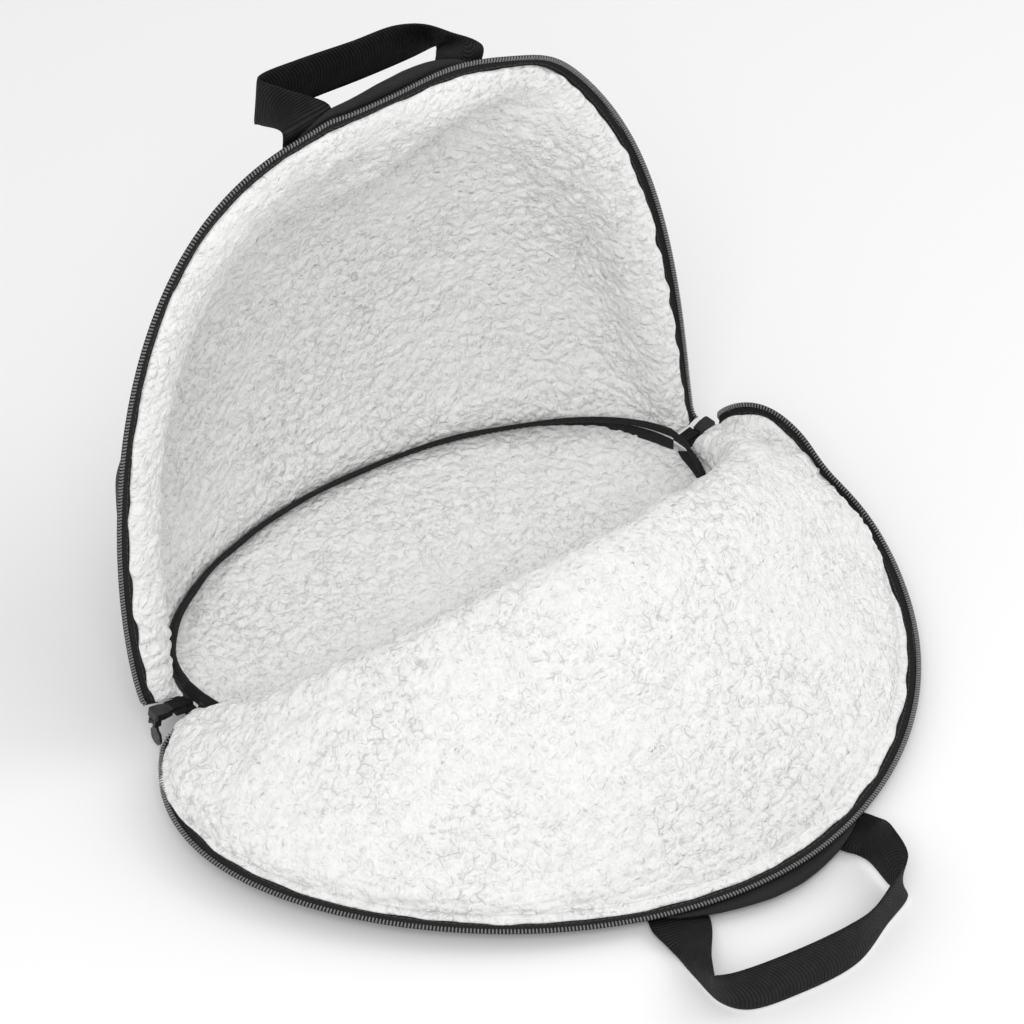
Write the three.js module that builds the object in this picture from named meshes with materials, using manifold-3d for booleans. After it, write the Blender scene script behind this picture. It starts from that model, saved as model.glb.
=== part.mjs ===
import * as THREE from 'three';
import Module from 'manifold-3d';
import { mergeVertices } from 'three/addons/utils/BufferGeometryUtils.js';

// A soft padded bag that zips open into two halves over an oval base.
// The back half stands up as it does when the bag is closed, the front half is folded
// out and lies on the floor. Black cloth outside, thick fleece inside.
// Millimetres, +Z up, +X along the base, the front half opens towards -Y.
// The origin is the middle of the flat underside.

// Base
const baseLength = 374;
const baseWidth = 252;
const baseSideRise = 6;
const baseTipRise = 19;
const flatShare = 0.74;
const tipRisePower = 3;

// Panels
const panelHeight = 321;
const bellyBulge = 10;
const crestHeight = 131;
const crestBulge = 15;
const foldLength = 145;
const endSeamLength = 14;
const endSeamRise = 3;
const endSwellPower = 6;

// Right corner of the folded-out rim, which stands up from the floor
const cornerHeight = 38;
const cornerPlace = 0.095;

// Right shoulder of the standing rim, its place and width as shares of the rim's half turn
const shoulderHeight = 8;
const shoulderPlace = 0.64;
const shoulderWidth = 0.056;

// Layers
const clothThickness = 1.5;
const liningThickness = 8;
const liningEdgeThickness = 3;
const edgeTaper = 22;
const gap = 0.3;
const layerGap = 0.5;
const tapeSeat = 1;
const tapeGap = 1;
const coilGap = 0.9;
const endGap = 0.6;

// Seam binding, a tape folded over the inner seam
const bindingHeight = 8;
const bindingThickness = 2.4;

// Zipper
const tapeWidth = 5;
const tapeThickness = 1;
const coilWidth = 2.2;
const coilHeight = 2.2;
const closedCoilWidth = 5;
const sliderLength = 12;
const sliderWidth = 9;
const sliderNoseWidth = 6.4;
const sliderThickness = 4.4;
const clothLip = 4;
const tipLipShare = 0.25;
const tipLipLength = 100;
const endTurn = 20;

// Pull tabs
const pinDiameter = 1.8;
const pinClearance = 0.3;
const pinDrop = 3;
const earThickness = 1.2;
const eyeWall = 1;
const eyeWidth = 3.2;
const pullLength = 17;
const pullWidth = 8.6;
const pullNeckWidth = 4.4;
const pullNeckLength = 5.6;
const pullThickness = 1.6;

// Handles
const webbingWidth = 30;
const webbingThickness = 1.6;
const backHandleSpread = 101;
const backHandleShift = 0;
const frontHandleSpread = 114;
const frontHandleShift = - 19;
const handleSewnLength = 34;
const handlePastRim = 14;
const handleSeat = 1.35;
const handleLip = 19;
const handleLipSpread = 1.15;

// Mesh steps
const rimSteps = 30;
const rowSamples = 160;
const endCrowding = 0.5;
const baseSteps = 36;
const seamSteps = 2;
const loopSteps = 2;

const bellyDepth = baseWidth / 2 + bellyBulge;
const crestReach = baseWidth / 2 + crestBulge;
const foldReach = crestReach + foldLength;

function table(names, ...rows) {
	return rows.map((row) => Object.fromEntries(names.map((name, index) => [name, row[index]])));
}

// Sections of each panel, from the base seam to the zipper rim.
// end      place on the short end seam, 0 at the base seam, 1 at the zipper
// length   half length, share of half the base length
// reach    distance from the middle plane, share of bellyDepth or of crestReach
// fold     further reach, share of the distance from the crest to the folded-out rim
// height   share of panelHeight or of crestHeight
// square   roundness of the section seen along its axis, 2 is an ellipse
// reachRise and heightRise   how slowly reach and height build up from the ends
// shift    sideways shift of the whole section, share of half the base length
// skew     sideways shift that grows from the ends to the middle, same share
// steps    mesh steps to the next section
const sectionColumns = [
	'end', 'length', 'reach', 'fold', 'height', 'square',
	'reachRise', 'heightRise', 'shift', 'skew', 'steps'
];

const backSections = table(
	sectionColumns,
	[0.15, 1.02, 0.97, 0.00, 0.14, 2.05, 1.00, 1.00, 0.00, 0.00, 2],
	[0.30, 1.04, 1.00, 0.00, 0.34, 2.15, 0.95, 1.00, 0.00, 0.00, 2],
	[0.50, 1.03, 0.91, 0.00, 0.60, 2.30, 0.90, 1.00, 0.00, 0.00, 2],
	[0.65, 1.00, 0.70, 0.00, 0.80, 2.40, 0.80, 1.00, 0.005, - 0.01, 2],
	[0.80, 1.00, 0.46, 0.00, 0.915, 2.55, 0.80, 1.05, 0.00, - 0.02, 1],
	[0.90, 1.03, 0.34, 0.00, 0.975, 2.75, 0.82, 1.12, - 0.01, - 0.02, 1],
	[1.00, 1.055, 0.315, 0.00, 1.004, 3.00, 0.86, 1.26, - 0.024, - 0.010, 0]
);

const frontSections = table(
	sectionColumns,
	[0.12, 1.02, 0.94, 0.00, 0.36, 2.00, 1.00, 1.10, 0.00, 0.00, 2],
	[0.24, 1.02, 0.95, 0.00, 0.76, 2.00, 1.00, 1.20, 0.00, 0.00, 2],
	[0.34, 1.02, 1.00, 0.00, 1.00, 2.00, 1.00, 1.25, 0.00, 0.00, 1],
	[0.42, 1.06, 1.00, 0.17, 0.95, 2.00, 1.00, 1.25, 0.00, 0.00, 2],
	[0.58, 1.17, 1.00, 0.44, 0.58, 1.98, 0.98, 1.10, - 0.02, 0.03, 2],
	[0.76, 1.25, 1.00, 0.74, 0.20, 1.95, 0.96, 0.85, - 0.045, 0.07, 2],
	[0.90, 1.285, 1.00, 0.94, 0.022, 1.92, 0.945, 0.62, - 0.065, 0.10, 1],
	[1.00, 1.305, 1.00, 1.00, 0.030, 1.90, 0.935, 0.52, - 0.075, 0.118, 0]
);

// Soft folds and dents of the panels.
// along   place along the rim, 0 at the left end, 1 at the right end
// across  place between the base seam, 0, and the rim, 1
// long and wide   half length and half width of the fold, mm
// turn    direction of the fold, degrees from the rim direction
// height  mm, positive towards the fleece side
const foldColumns = ['along', 'across', 'long', 'wide', 'turn', 'height'];
const backFolds = table(
	foldColumns,
	[0.34, 0.80, 190, 22, 0, 7],
	[0.52, 0.86, 60, 26, 50, 11],
	[0.60, 0.84, 80, 30, 55, - 12]
);
const frontFolds = table(
	foldColumns,
	[0.86, 0.62, 110, 22, 80, - 7],
	[0.79, 0.62, 120, 22, 82, 5],
	[0.30, 0.70, 90, 40, 20, 4]
);

const zipEndHalf = closedCoilWidth / 2 + clothLip;
const endHalf = zipEndHalf + endGap;
const baseStack = clothThickness + layerGap + liningEdgeThickness + gap;
const liningOffset = clothThickness + layerGap;

// Base

function baseEdgeRise(angle) {
	return baseSideRise + (baseTipRise - baseSideRise) * Math.abs(Math.cos(angle)) ** tipRisePower;
}

// Share of the curl, 0 on the flat middle and 1 at the edge
function baseCurl(share) {
	return Math.max(0, (share - flatShare) / (1 - flatShare));
}

// Outer surface of the base, flat in the middle and curling up to its edge
function basePoint(share, angle) {
	return new THREE.Vector3(
		share * baseLength / 2 * Math.cos(angle),
		share * baseWidth / 2 * Math.sin(angle),
		baseEdgeRise(angle) * baseCurl(share) ** 2
	);
}

function baseNormal(share, angle) {
	const small = 0.002;
	const outward = basePoint(share, angle).sub(basePoint(share - small, angle));
	const around = basePoint(share, angle + small).sub(basePoint(share, angle - small));
	return outward.cross(around).normalize();
}

const baseRings = [0.4, flatShare, 0.84, 0.93, 1];

// A layer of the base between two heights above its outer surface
function baseLayer(lower, upperMiddle, upperEdge) {
	const points = [];
	const angles = Array.from({ length: baseSteps }, (_, k) => 2 * Math.PI * k / baseSteps);
	const upperAt = (share) => (
		THREE.MathUtils.lerp(upperMiddle, upperEdge, THREE.MathUtils.smoothstep(baseCurl(share), 0, 1))
	);
	const faces = [];
	const addSide = (offsetAt, flip) => {
		const centre = points.push(new THREE.Vector3(0, 0, offsetAt(0))) - 1;
		const rings = baseRings.map((share) => angles.map((angle) => {
			const lift = share <= flatShare ? new THREE.Vector3(0, 0, 1) : baseNormal(share, angle);
			return points.push(basePoint(share, angle).addScaledVector(lift, offsetAt(share))) - 1;
		}));
		const add = (a, b, c) => faces.push(flip ? [a, c, b] : [a, b, c]);
		for (let k = 0; k < baseSteps; k ++) {
			const next = (k + 1) % baseSteps;
			add(centre, rings[0][k], rings[0][next]);
			for (let r = 0; r + 1 < rings.length; r ++) {
				add(rings[r][k], rings[r + 1][k], rings[r + 1][next]);
				add(rings[r][k], rings[r + 1][next], rings[r][next]);
			}
		}
		return rings.at(-1);
	};
	const top = addSide(upperAt, false);
	const bottom = addSide(() => lower, true);
	for (let k = 0; k < baseSteps; k ++) {
		const next = (k + 1) % baseSteps;
		faces.push([bottom[k], bottom[next], top[next]]);
		faces.push([bottom[k], top[next], top[k]]);
	}
	return solidFromFaces(points, faces);
}

// Panels

// The base seam seen as the first section of both panels: it stands on the edge of the base
function seamPoint(side, along) {
	const start = Math.asin(endHalf / (baseWidth / 2));
	const angle = Math.PI - start - along * (Math.PI - 2 * start);
	const point = basePoint(1, angle).addScaledVector(baseNormal(1, angle), baseStack);
	return new THREE.Vector3(point.x, side * point.y, point.z);
}

const seamTip = seamPoint(1, 1);
const zipTip = new THREE.Vector3(
	seamTip.x + Math.sqrt(endSeamLength ** 2 - endSeamRise ** 2),
	0,
	seamTip.z + endSeamRise
);

function sectionPoint(section, side, reach, height, along) {
	const angle = Math.PI * along;
	const cosine = - Math.cos(angle);
	const lift = Math.abs(Math.sin(angle)) ** (2 / section.square);
	const spread = Math.abs(cosine) ** (2 / section.square) * Math.sign(cosine);
	const swell = 1 - (1 - lift) ** endSwellPower;
	const tipX = THREE.MathUtils.lerp(seamTip.x, zipTip.x, section.end);
	const tipY = endHalf + (liningOffset + liningEdgeThickness) * Math.sqrt(section.end);
	const tipZ = THREE.MathUtils.lerp(seamTip.z, zipTip.z, section.end);
	const halfLength = section.length * baseLength / 2;
	const corner = side < 0 && cosine > 0 ? cornerHeight * cornerShare(lift, section.end) : 0;
	const shoulder = side > 0 ? shoulderHeight * shoulderShare(along, section.end) : 0;
	return new THREE.Vector3(
		(section.shift * swell + section.skew * lift) * baseLength / 2
			+ spread * (tipX + (halfLength - tipX) * swell),
		side * (tipY + (reach - tipY) * lift ** section.reachRise),
		tipZ + (height - tipZ) * lift ** section.heightRise + corner + shoulder
	);
}

// How far the standing corner shows, greatest on the rim and at its own place along it
function cornerShare(lift, end) {
	const place = lift / cornerPlace;
	return place * Math.exp(1 - place) * end ** 2;
}

// How far the shoulder shows, greatest on the rim
function shoulderShare(along, end) {
	return Math.exp(- (((along - shoulderPlace) / shoulderWidth) ** 2)) * end ** 2;
}

// Points of one section, evenly spaced by length but closer together near both ends
function evenPoints(pointAt) {
	const curve = new THREE.CurvePath();
	const samples = Array.from({ length: rowSamples + 1 }, (_, k) => pointAt(k / rowSamples));
	for (let k = 0; k < rowSamples; k ++) {
		curve.add(new THREE.LineCurve3(samples[k], samples[k + 1]));
	}
	return Array.from({ length: rimSteps + 1 }, (_, i) => {
		const t = i / rimSteps;
		return curve.getPoint(t - endCrowding * Math.sin(2 * Math.PI * t) / (2 * Math.PI));
	});
}

function foldHeight(folds, along, across, rimLength, depth) {
	let height = 0;
	for (const fold of folds) {
		const turn = THREE.MathUtils.degToRad(fold.turn);
		const u = (along - fold.along) * rimLength;
		const v = (across - fold.across) * depth;
		const lengthwise = (u * Math.cos(turn) + v * Math.sin(turn)) / fold.long;
		const crosswise = (v * Math.cos(turn) - u * Math.sin(turn)) / fold.wide;
		height += fold.height * Math.exp(- (lengthwise ** 2) - crosswise ** 2);
	}
	return height;
}

// Grid of the panel's outer surface with the normals that point to the fleece side
function makePanel({ side, sections, folds, handle, reachOf, heightOf }) {
	const rows = [evenPoints((along) => seamPoint(side, along))];
	for (const section of sections) {
		const reach = reachOf(section);
		const height = heightOf(section);
		rows.push(evenPoints((along) => sectionPoint(section, side, reach, height, along)));
	}
	const steps = [seamSteps, ...sections.map((section) => section.steps)];
	const stations = [];
	for (let row = 0; row + 1 < rows.length; row ++) {
		for (let k = 0; k < steps[row]; k ++) {
			stations.push((row + k / steps[row]) / (rows.length - 1));
		}
	}
	stations.push(1);
	const grid = [];
	for (let i = 0; i <= rimSteps; i ++) {
		const profile = new THREE.CatmullRomCurve3(rows.map((row) => row[i]), false, 'centripetal');
		grid.push(stations.map((station) => profile.getPoint(station)));
	}
	const depth = runLengths(grid[rimSteps / 2]);
	const rim = runLengths(grid.map((column) => column.at(-1)));
	let normals = gridNormals(grid, side);
	const folded = grid.map((column, i) => column.map((point, j) => {
		const across = depth[j] / depth.at(-1);
		const along = rim[i] / rim.at(-1);
		const fromSeams = Math.sqrt(Math.sin(Math.PI * across));
		const fromEnds = Math.min(1, 4 * Math.sin(Math.PI * along));
		const height = fromSeams * fromEnds * foldHeight(folds, along, across, rim.at(-1), depth.at(-1));
		return point.clone().addScaledVector(normals[i][j], height);
	}));
	normals = gridNormals(folded, side);
	return { side, handle, grid: folded, normals, rim, last: stations.length - 1 };
}

function runLengths(points) {
	const lengths = [0];
	for (let k = 1; k < points.length; k ++) {
		lengths.push(lengths[k - 1] + points[k].distanceTo(points[k - 1]));
	}
	return lengths;
}

function gridNormals(grid, facing) {
	return grid.map((column, i) => column.map((_, j) => {
		const before = grid[Math.max(0, i - 1)][j];
		const after = grid[Math.min(grid.length - 1, i + 1)][j];
		const below = column[Math.max(0, j - 1)];
		const above = column[Math.min(column.length - 1, j + 1)];
		const around = after.clone().sub(before).normalize();
		const across = above.clone().sub(below).normalize();
		return around.cross(across).normalize().multiplyScalar(facing);
	}));
}

// A layer of a panel between two offsets from its outer surface, both given by grid place
function panelLayer(grid, normals, lowerAt, upperAt) {
	const columns = grid.length;
	const rows = grid[0].length;
	const offset = (heightAt) => grid.map((column, i) => column.map((point, j) => (
		point.clone().addScaledVector(normals[i][j], heightAt(i, j))
	)));
	return gridSolid(offset(lowerAt), offset(upperAt), columns, rows);
}

// Closed solid between two grids of the same size, the second on the positive side
function gridSolid(lower, upper, columns, rows) {
	const points = [...lower.flat(), ...upper.flat()];
	const low = (i, j) => i * rows + j;
	const high = (i, j) => columns * rows + i * rows + j;
	const faces = [];
	const quad = (a, b, c, d) => faces.push([a, b, c], [a, c, d]);
	for (let i = 0; i + 1 < columns; i ++) {
		for (let j = 0; j + 1 < rows; j ++) {
			quad(low(i, j), low(i, j + 1), low(i + 1, j + 1), low(i + 1, j));
			quad(high(i, j), high(i + 1, j), high(i + 1, j + 1), high(i, j + 1));
		}
		quad(low(i, 0), low(i + 1, 0), high(i + 1, 0), high(i, 0));
		quad(low(i, rows - 1), high(i, rows - 1), high(i + 1, rows - 1), low(i + 1, rows - 1));
	}
	for (let j = 0; j + 1 < rows; j ++) {
		quad(low(0, j), high(0, j), high(0, j + 1), low(0, j + 1));
		quad(low(columns - 1, j), low(columns - 1, j + 1), high(columns - 1, j + 1), high(columns - 1, j));
	}
	return solidFromFaces(points, faces);
}

// Builds the mesh and turns it so that its faces point outwards
function solidFromFaces(points, faces) {
	let volume = 0;
	for (const [a, b, c] of faces) {
		volume += points[a].dot(points[b].clone().cross(points[c]));
	}
	const outward = volume < 0 ? faces.map(([a, b, c]) => [a, c, b]) : faces;
	const geometry = new THREE.BufferGeometry();
	const positions = points.flatMap((point) => [point.x, point.y, point.z]);
	geometry.setAttribute('position', new THREE.Float32BufferAttribute(positions, 3));
	geometry.setIndex(outward.flat());
	geometry.computeVertexNormals();
	return geometry;
}

const backPanel = makePanel({
	side: 1,
	sections: backSections,
	folds: backFolds,
	handle: { spread: backHandleSpread, shift: backHandleShift },
	reachOf: (section) => section.reach * bellyDepth,
	heightOf: (section) => section.height * panelHeight
});
const frontPanel = makePanel({
	side: - 1,
	sections: frontSections,
	folds: frontFolds,
	handle: { spread: frontHandleSpread, shift: frontHandleShift },
	reachOf: (section) => section.reach * crestReach + section.fold * (foldReach - crestReach),
	heightOf: (section) => section.height * crestHeight
});

// Direction that leads outwards over the rim: in line with the panel at its two ends,
// square to the rim everywhere else
function rimDirections(panel) {
	return panel.grid.map((column, i) => {
		const inLine = column[panel.last].clone().sub(column[panel.last - 1]).normalize();
		const before = panel.grid[Math.max(0, i - 1)][panel.last];
		const after = panel.grid[Math.min(rimSteps, i + 1)][panel.last];
		const square = after.clone().sub(before).cross(panel.normals[i][panel.last]).normalize();
		square.multiplyScalar(Math.sign(square.dot(inLine)));
		const fromEnd = Math.min(panel.rim[i], panel.rim.at(-1) - panel.rim[i]);
		return inLine.lerp(square, THREE.MathUtils.smoothstep(fromEnd, 0, endTurn)).normalize();
	});
}

// Lining thickness, pinched where it is sewn
function liningAt(panel) {
	return (i, j) => {
		const column = runLengths(panel.grid[i]);
		const row = runLengths(panel.grid.map((other) => other[j]));
		const near = Math.min(column[j], column.at(-1) - column[j], row[i], row.at(-1) - row[i]);
		const share = THREE.MathUtils.smoothstep(near, 0, edgeTaper);
		return liningOffset + THREE.MathUtils.lerp(liningEdgeThickness, liningThickness, share);
	};
}

// The cloth runs on past the rim under the zipper, and further between the handle's ends
function lipAt(panel, i) {
	const fromMiddle = Math.abs(panel.rim[i] - panel.rim.at(-1) / 2 - panel.handle.shift);
	const share = THREE.MathUtils.clamp(handleLipSpread - fromMiddle / (panel.handle.spread / 2), 0, 1);
	const fromEnd = Math.min(panel.rim[i], panel.rim.at(-1) - panel.rim[i]);
	const tip = THREE.MathUtils.lerp(tipLipShare, 1, THREE.MathUtils.smoothstep(fromEnd, 0, tipLipLength));
	return tip * (clothLip + (handleLip - clothLip) * Math.sqrt(share));
}

function clothGeometry(panel) {
	const directions = rimDirections(panel);
	const grid = panel.grid.map((column, i) => [
		...column,
		column[panel.last].clone().addScaledVector(directions[i], lipAt(panel, i))
	]);
	const normals = panel.normals.map((column) => [...column, column[panel.last]]);
	return panelLayer(grid, normals, () => 0, () => clothThickness);
}

function liningGeometry(panel) {
	return panelLayer(panel.grid, panel.normals, () => liningOffset, liningAt(panel));
}

// Zipper tape, beside the rim of the lining and on the lip of the cloth
function tapeGeometry(panel) {
	const directions = rimDirections(panel);
	const grid = panel.grid.map((column, i) => [tapeGap, tapeGap + tapeWidth].map((out) => (
		column[panel.last].clone().addScaledVector(directions[i], out)
	)));
	const normals = panel.normals.map((column) => [column[panel.last], column[panel.last]]);
	const low = clothThickness + tapeSeat;
	return panelLayer(grid, normals, () => low, () => low + tapeThickness);
}

// The row of coil teeth on the outer edge of the tape
function coilGeometry(panel) {
	const directions = rimDirections(panel);
	const middleOut = tapeGap + tapeWidth + coilGap + coilWidth / 2;
	const middleUp = clothThickness + tapeSeat + coilHeight / 2;
	const corners = Array.from({ length: 6 }, (_, k) => k * Math.PI / 3);
	const rings = panel.grid.map((column, i) => corners.map((angle) => {
		const out = middleOut + coilWidth / 2 * Math.cos(angle);
		const up = middleUp + coilHeight / 2 * Math.sin(angle);
		return column[panel.last].clone()
			.addScaledVector(directions[i], out)
			.addScaledVector(panel.normals[i][panel.last], up);
	}));
	return sweptSolid(rings, false);
}

// Solid through a run of closed rings, capped at both ends or closed on itself
function sweptSolid(rings, closed) {
	const sides = rings[0].length;
	const points = rings.flat();
	const faces = [];
	const count = closed ? rings.length : rings.length - 1;
	for (let i = 0; i < count; i ++) {
		const here = i * sides;
		const there = (i + 1) % rings.length * sides;
		for (let k = 0; k < sides; k ++) {
			const next = (k + 1) % sides;
			faces.push([here + k, here + next, there + next]);
			faces.push([here + k, there + next, there + k]);
		}
	}
	if (! closed) {
		const last = (rings.length - 1) * sides;
		for (let k = 1; k + 1 < sides; k ++) {
			faces.push([0, k + 1, k]);
			faces.push([last, last + k, last + k + 1]);
		}
	}
	return solidFromFaces(points, faces);
}

// Binding that stands up from the inner seam all the way round
function bindingGeometry() {
	const half = bindingThickness / 2;
	const section = [
		[0, gap], [half, gap + half], [half, bindingHeight - half / 2],
		[0, bindingHeight], [- half, bindingHeight - half / 2], [- half, gap + half]
	];
	const stationsOf = (panel) => panel.grid.map((column, i) => {
		const normal = panel.normals[i][0];
		const corner = column[0].clone().addScaledVector(normal, liningOffset + liningEdgeThickness);
		const angle = Math.atan2(column[0].y / baseWidth, column[0].x / baseLength);
		const up = baseNormal(1, angle);
		const stand = normal.clone().add(up).normalize();
		const round = new THREE.Vector3(- column[0].y / baseWidth ** 2, column[0].x / baseLength ** 2, 0);
		const along = round.normalize();
		const wide = along.clone().cross(stand).normalize();
		return { corner, stand, wide };
	});
	const stations = [...stationsOf(backPanel), ...stationsOf(frontPanel).reverse()];
	const rings = stations.map(({ corner, stand, wide }) => section.map(([out, up]) => (
		corner.clone().addScaledVector(wide, out).addScaledVector(stand, up)
	)));
	return sweptSolid(rings, true);
}

// Solid booleans
const wasm = await Module();
wasm.setup();

function toManifold(geometry) {
	const bare = geometry.clone();
	bare.deleteAttribute('normal');
	bare.deleteAttribute('uv');
	const merged = mergeVertices(bare, 1e-4);
	return new wasm.Manifold(new wasm.Mesh({
		numProp: 3,
		vertProperties: new Float32Array(merged.attributes.position.array),
		triVerts: new Uint32Array(merged.index.array)
	}));
}

function fromManifold(solid) {
	const { vertProperties, triVerts } = solid.getMesh();
	const geometry = new THREE.BufferGeometry();
	geometry.setAttribute('position', new THREE.BufferAttribute(vertProperties, 3));
	geometry.setIndex(new THREE.BufferAttribute(triVerts, 1));
	geometry.computeVertexNormals();
	return geometry;
}

function join(...geometries) {
	return fromManifold(geometries.map(toManifold).reduce((sum, part) => sum.add(part)));
}

// Closed stretch of zipper between the base seam and the slider, along +X from its own origin
const closedLength = endSeamLength - gap;

function closedZipGeometry() {
	const tape = new THREE.BoxGeometry(closedLength, 2 * zipEndHalf, tapeThickness);
	const coil = new THREE.BoxGeometry(closedLength, closedCoilWidth, coilHeight);
	coil.translate(0, 0, (coilHeight - tapeThickness) / 2);
	return join(tape, coil).translate(closedLength / 2, 0, liningOffset + tapeThickness / 2);
}

// Slider body, its nose towards -X on the closed stretch, with two ears and a pin below its far end
const pinX = sliderLength - eyeWall - pinDiameter;
const pinZ = - sliderThickness / 2 - pinDrop;
const eyeRadius = pinDiameter / 2 + pinClearance + eyeWall;

function sliderGeometry() {
	const outline = new THREE.Shape();
	outline.moveTo(0, - sliderNoseWidth / 2);
	outline.lineTo(sliderLength / 2, - sliderWidth / 2);
	outline.lineTo(sliderLength - 1, - sliderWidth / 2);
	outline.lineTo(sliderLength, - sliderWidth / 2 + 1);
	outline.lineTo(sliderLength, sliderWidth / 2 - 1);
	outline.lineTo(sliderLength - 1, sliderWidth / 2);
	outline.lineTo(sliderLength / 2, sliderWidth / 2);
	outline.lineTo(0, sliderNoseWidth / 2);
	outline.closePath();
	const body = new THREE.ExtrudeGeometry(outline, { depth: sliderThickness, bevelEnabled: false });
	body.translate(0, 0, - sliderThickness / 2);
	const earPlace = eyeWidth / 2 + pinClearance + earThickness / 2;
	const ears = [- 1, 1].map((side) => {
		const ear = new THREE.BoxGeometry(2 * eyeRadius, earThickness, pinDrop + eyeRadius);
		ear.translate(pinX, side * earPlace, pinZ + (pinDrop - eyeRadius) / 2 + gap);
		return ear;
	});
	const pin = new THREE.CylinderGeometry(pinDiameter / 2, pinDiameter / 2, 2 * earPlace, 10);
	pin.translate(pinX, 0, pinZ);
	return join(body, ...ears, pin);
}

// Pull tab hanging from the pin, its own origin on the pin's axis
function pullGeometry() {
	const eye = new THREE.Shape();
	eye.absarc(0, 0, eyeRadius, 0, 2 * Math.PI);
	const bore = new THREE.Path();
	bore.absarc(0, 0, pinDiameter / 2 + pinClearance, 0, 2 * Math.PI, true);
	eye.holes.push(bore);
	const barrel = new THREE.ExtrudeGeometry(eye, { depth: eyeWidth, bevelEnabled: false, curveSegments: 5 });
	barrel.translate(0, 0, - eyeWidth / 2).rotateX(Math.PI / 2);
	const neckTop = - eyeRadius + eyeWall / 2;
	const paddleTop = - pullNeckLength;
	const round = pullWidth / 2;
	const outline = new THREE.Shape();
	outline.moveTo(- eyeWidth / 2, neckTop);
	outline.lineTo(- pullNeckWidth / 2, paddleTop);
	outline.lineTo(- round, paddleTop - round / 2);
	outline.lineTo(- round, round - pullLength);
	outline.absarc(0, round - pullLength, round, Math.PI, 2 * Math.PI, false);
	outline.lineTo(round, paddleTop - round / 2);
	outline.lineTo(pullNeckWidth / 2, paddleTop);
	outline.lineTo(eyeWidth / 2, neckTop);
	outline.closePath();
	const settings = { depth: pullThickness, bevelEnabled: false, curveSegments: 4 };
	const plate = new THREE.ExtrudeGeometry(outline, settings);
	plate.translate(0, 0, - pullThickness / 2).rotateX(Math.PI / 2).rotateZ(Math.PI / 2);
	return join(barrel, plate);
}

// Handles

// A place below the outer surface of a panel, given by its share of the rim and the distance
// down from the rim, or out past the rim where the distance is negative
function outerPlace(panel, along, down, below) {
	const target = panel.rim.at(-1) * along;
	const i = panel.rim.findIndex((length) => length >= target);
	const share = (target - panel.rim[i - 1]) / (panel.rim[i] - panel.rim[i - 1]);
	const between = (lists) => lists[i].map((vector, j) => lists[i - 1][j].clone().lerp(vector, share));
	const column = between(panel.grid).reverse();
	const normals = between(panel.normals).reverse();
	const [outwards] = between(rimDirections(panel).map((direction) => [direction]));
	if (down <= 0) {
		return column[0].addScaledVector(outwards, - down).addScaledVector(normals[0].normalize(), - below);
	}
	const lengths = runLengths(column);
	const j = lengths.findIndex((length) => length >= down);
	const part = (down - lengths[j - 1]) / (lengths[j] - lengths[j - 1]);
	const normal = normals[j - 1].lerp(normals[j], part).normalize();
	return column[j - 1].lerp(column[j], part).addScaledVector(normal, - below);
}

// Stations of the free loop, counted from the middle of the rim.
// across  share of half the handle spread
// out and up   shares of the webbing width, away from the bag and above the rim
// widthX, widthY and widthZ   direction of the webbing's width
const loopColumns = ['across', 'out', 'up', 'widthX', 'widthY', 'widthZ'];
const backLoop = table(
	loopColumns,
	[- 1.15, 0.70, 0.35, 0.24, - 0.46, 0.86],
	[- 1.17, 1.10, 0.29, 0.00, - 0.18, 0.98],
	[- 1.03, 1.18, 0.28, - 0.14, - 0.11, 0.98],
	[- 0.52, 1.20, 0.27, - 0.28, - 0.10, 0.95],
	[0.18, 1.16, 0.25, - 0.36, - 0.12, 0.92],
	[0.80, 1.17, 0.23, - 0.47, - 0.13, 0.88],
	[1.12, 1.12, 0.18, - 0.52, - 0.34, 0.79],
	[1.12, 0.69, 0.27, - 0.20, - 0.68, 0.69]
);
const frontLoop = table(
	loopColumns,
	[- 1.30, 0.78, 0.28, 0.04, 0.79, 0.62],
	[- 1.38, 1.20, 0.30, - 0.18, 0.62, 0.76],
	[- 1.43, 1.66, 0.40, - 0.28, 0.10, 0.95],
	[- 1.30, 1.94, 0.42, - 0.25, - 0.14, 0.96],
	[- 0.77, 2.23, 0.42, - 0.16, - 0.16, 0.97],
	[- 0.14, 2.38, 0.42, - 0.19, - 0.10, 0.98],
	[0.30, 2.20, 0.38, - 0.50, 0.12, 0.85],
	[0.70, 1.94, 0.40, - 0.55, 0.14, 0.82],
	[0.80, 1.72, 0.48, 0.00, 0.26, 0.97],
	[0.92, 1.00, 0.46, 0.22, 0.33, 0.92]
);

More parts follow.
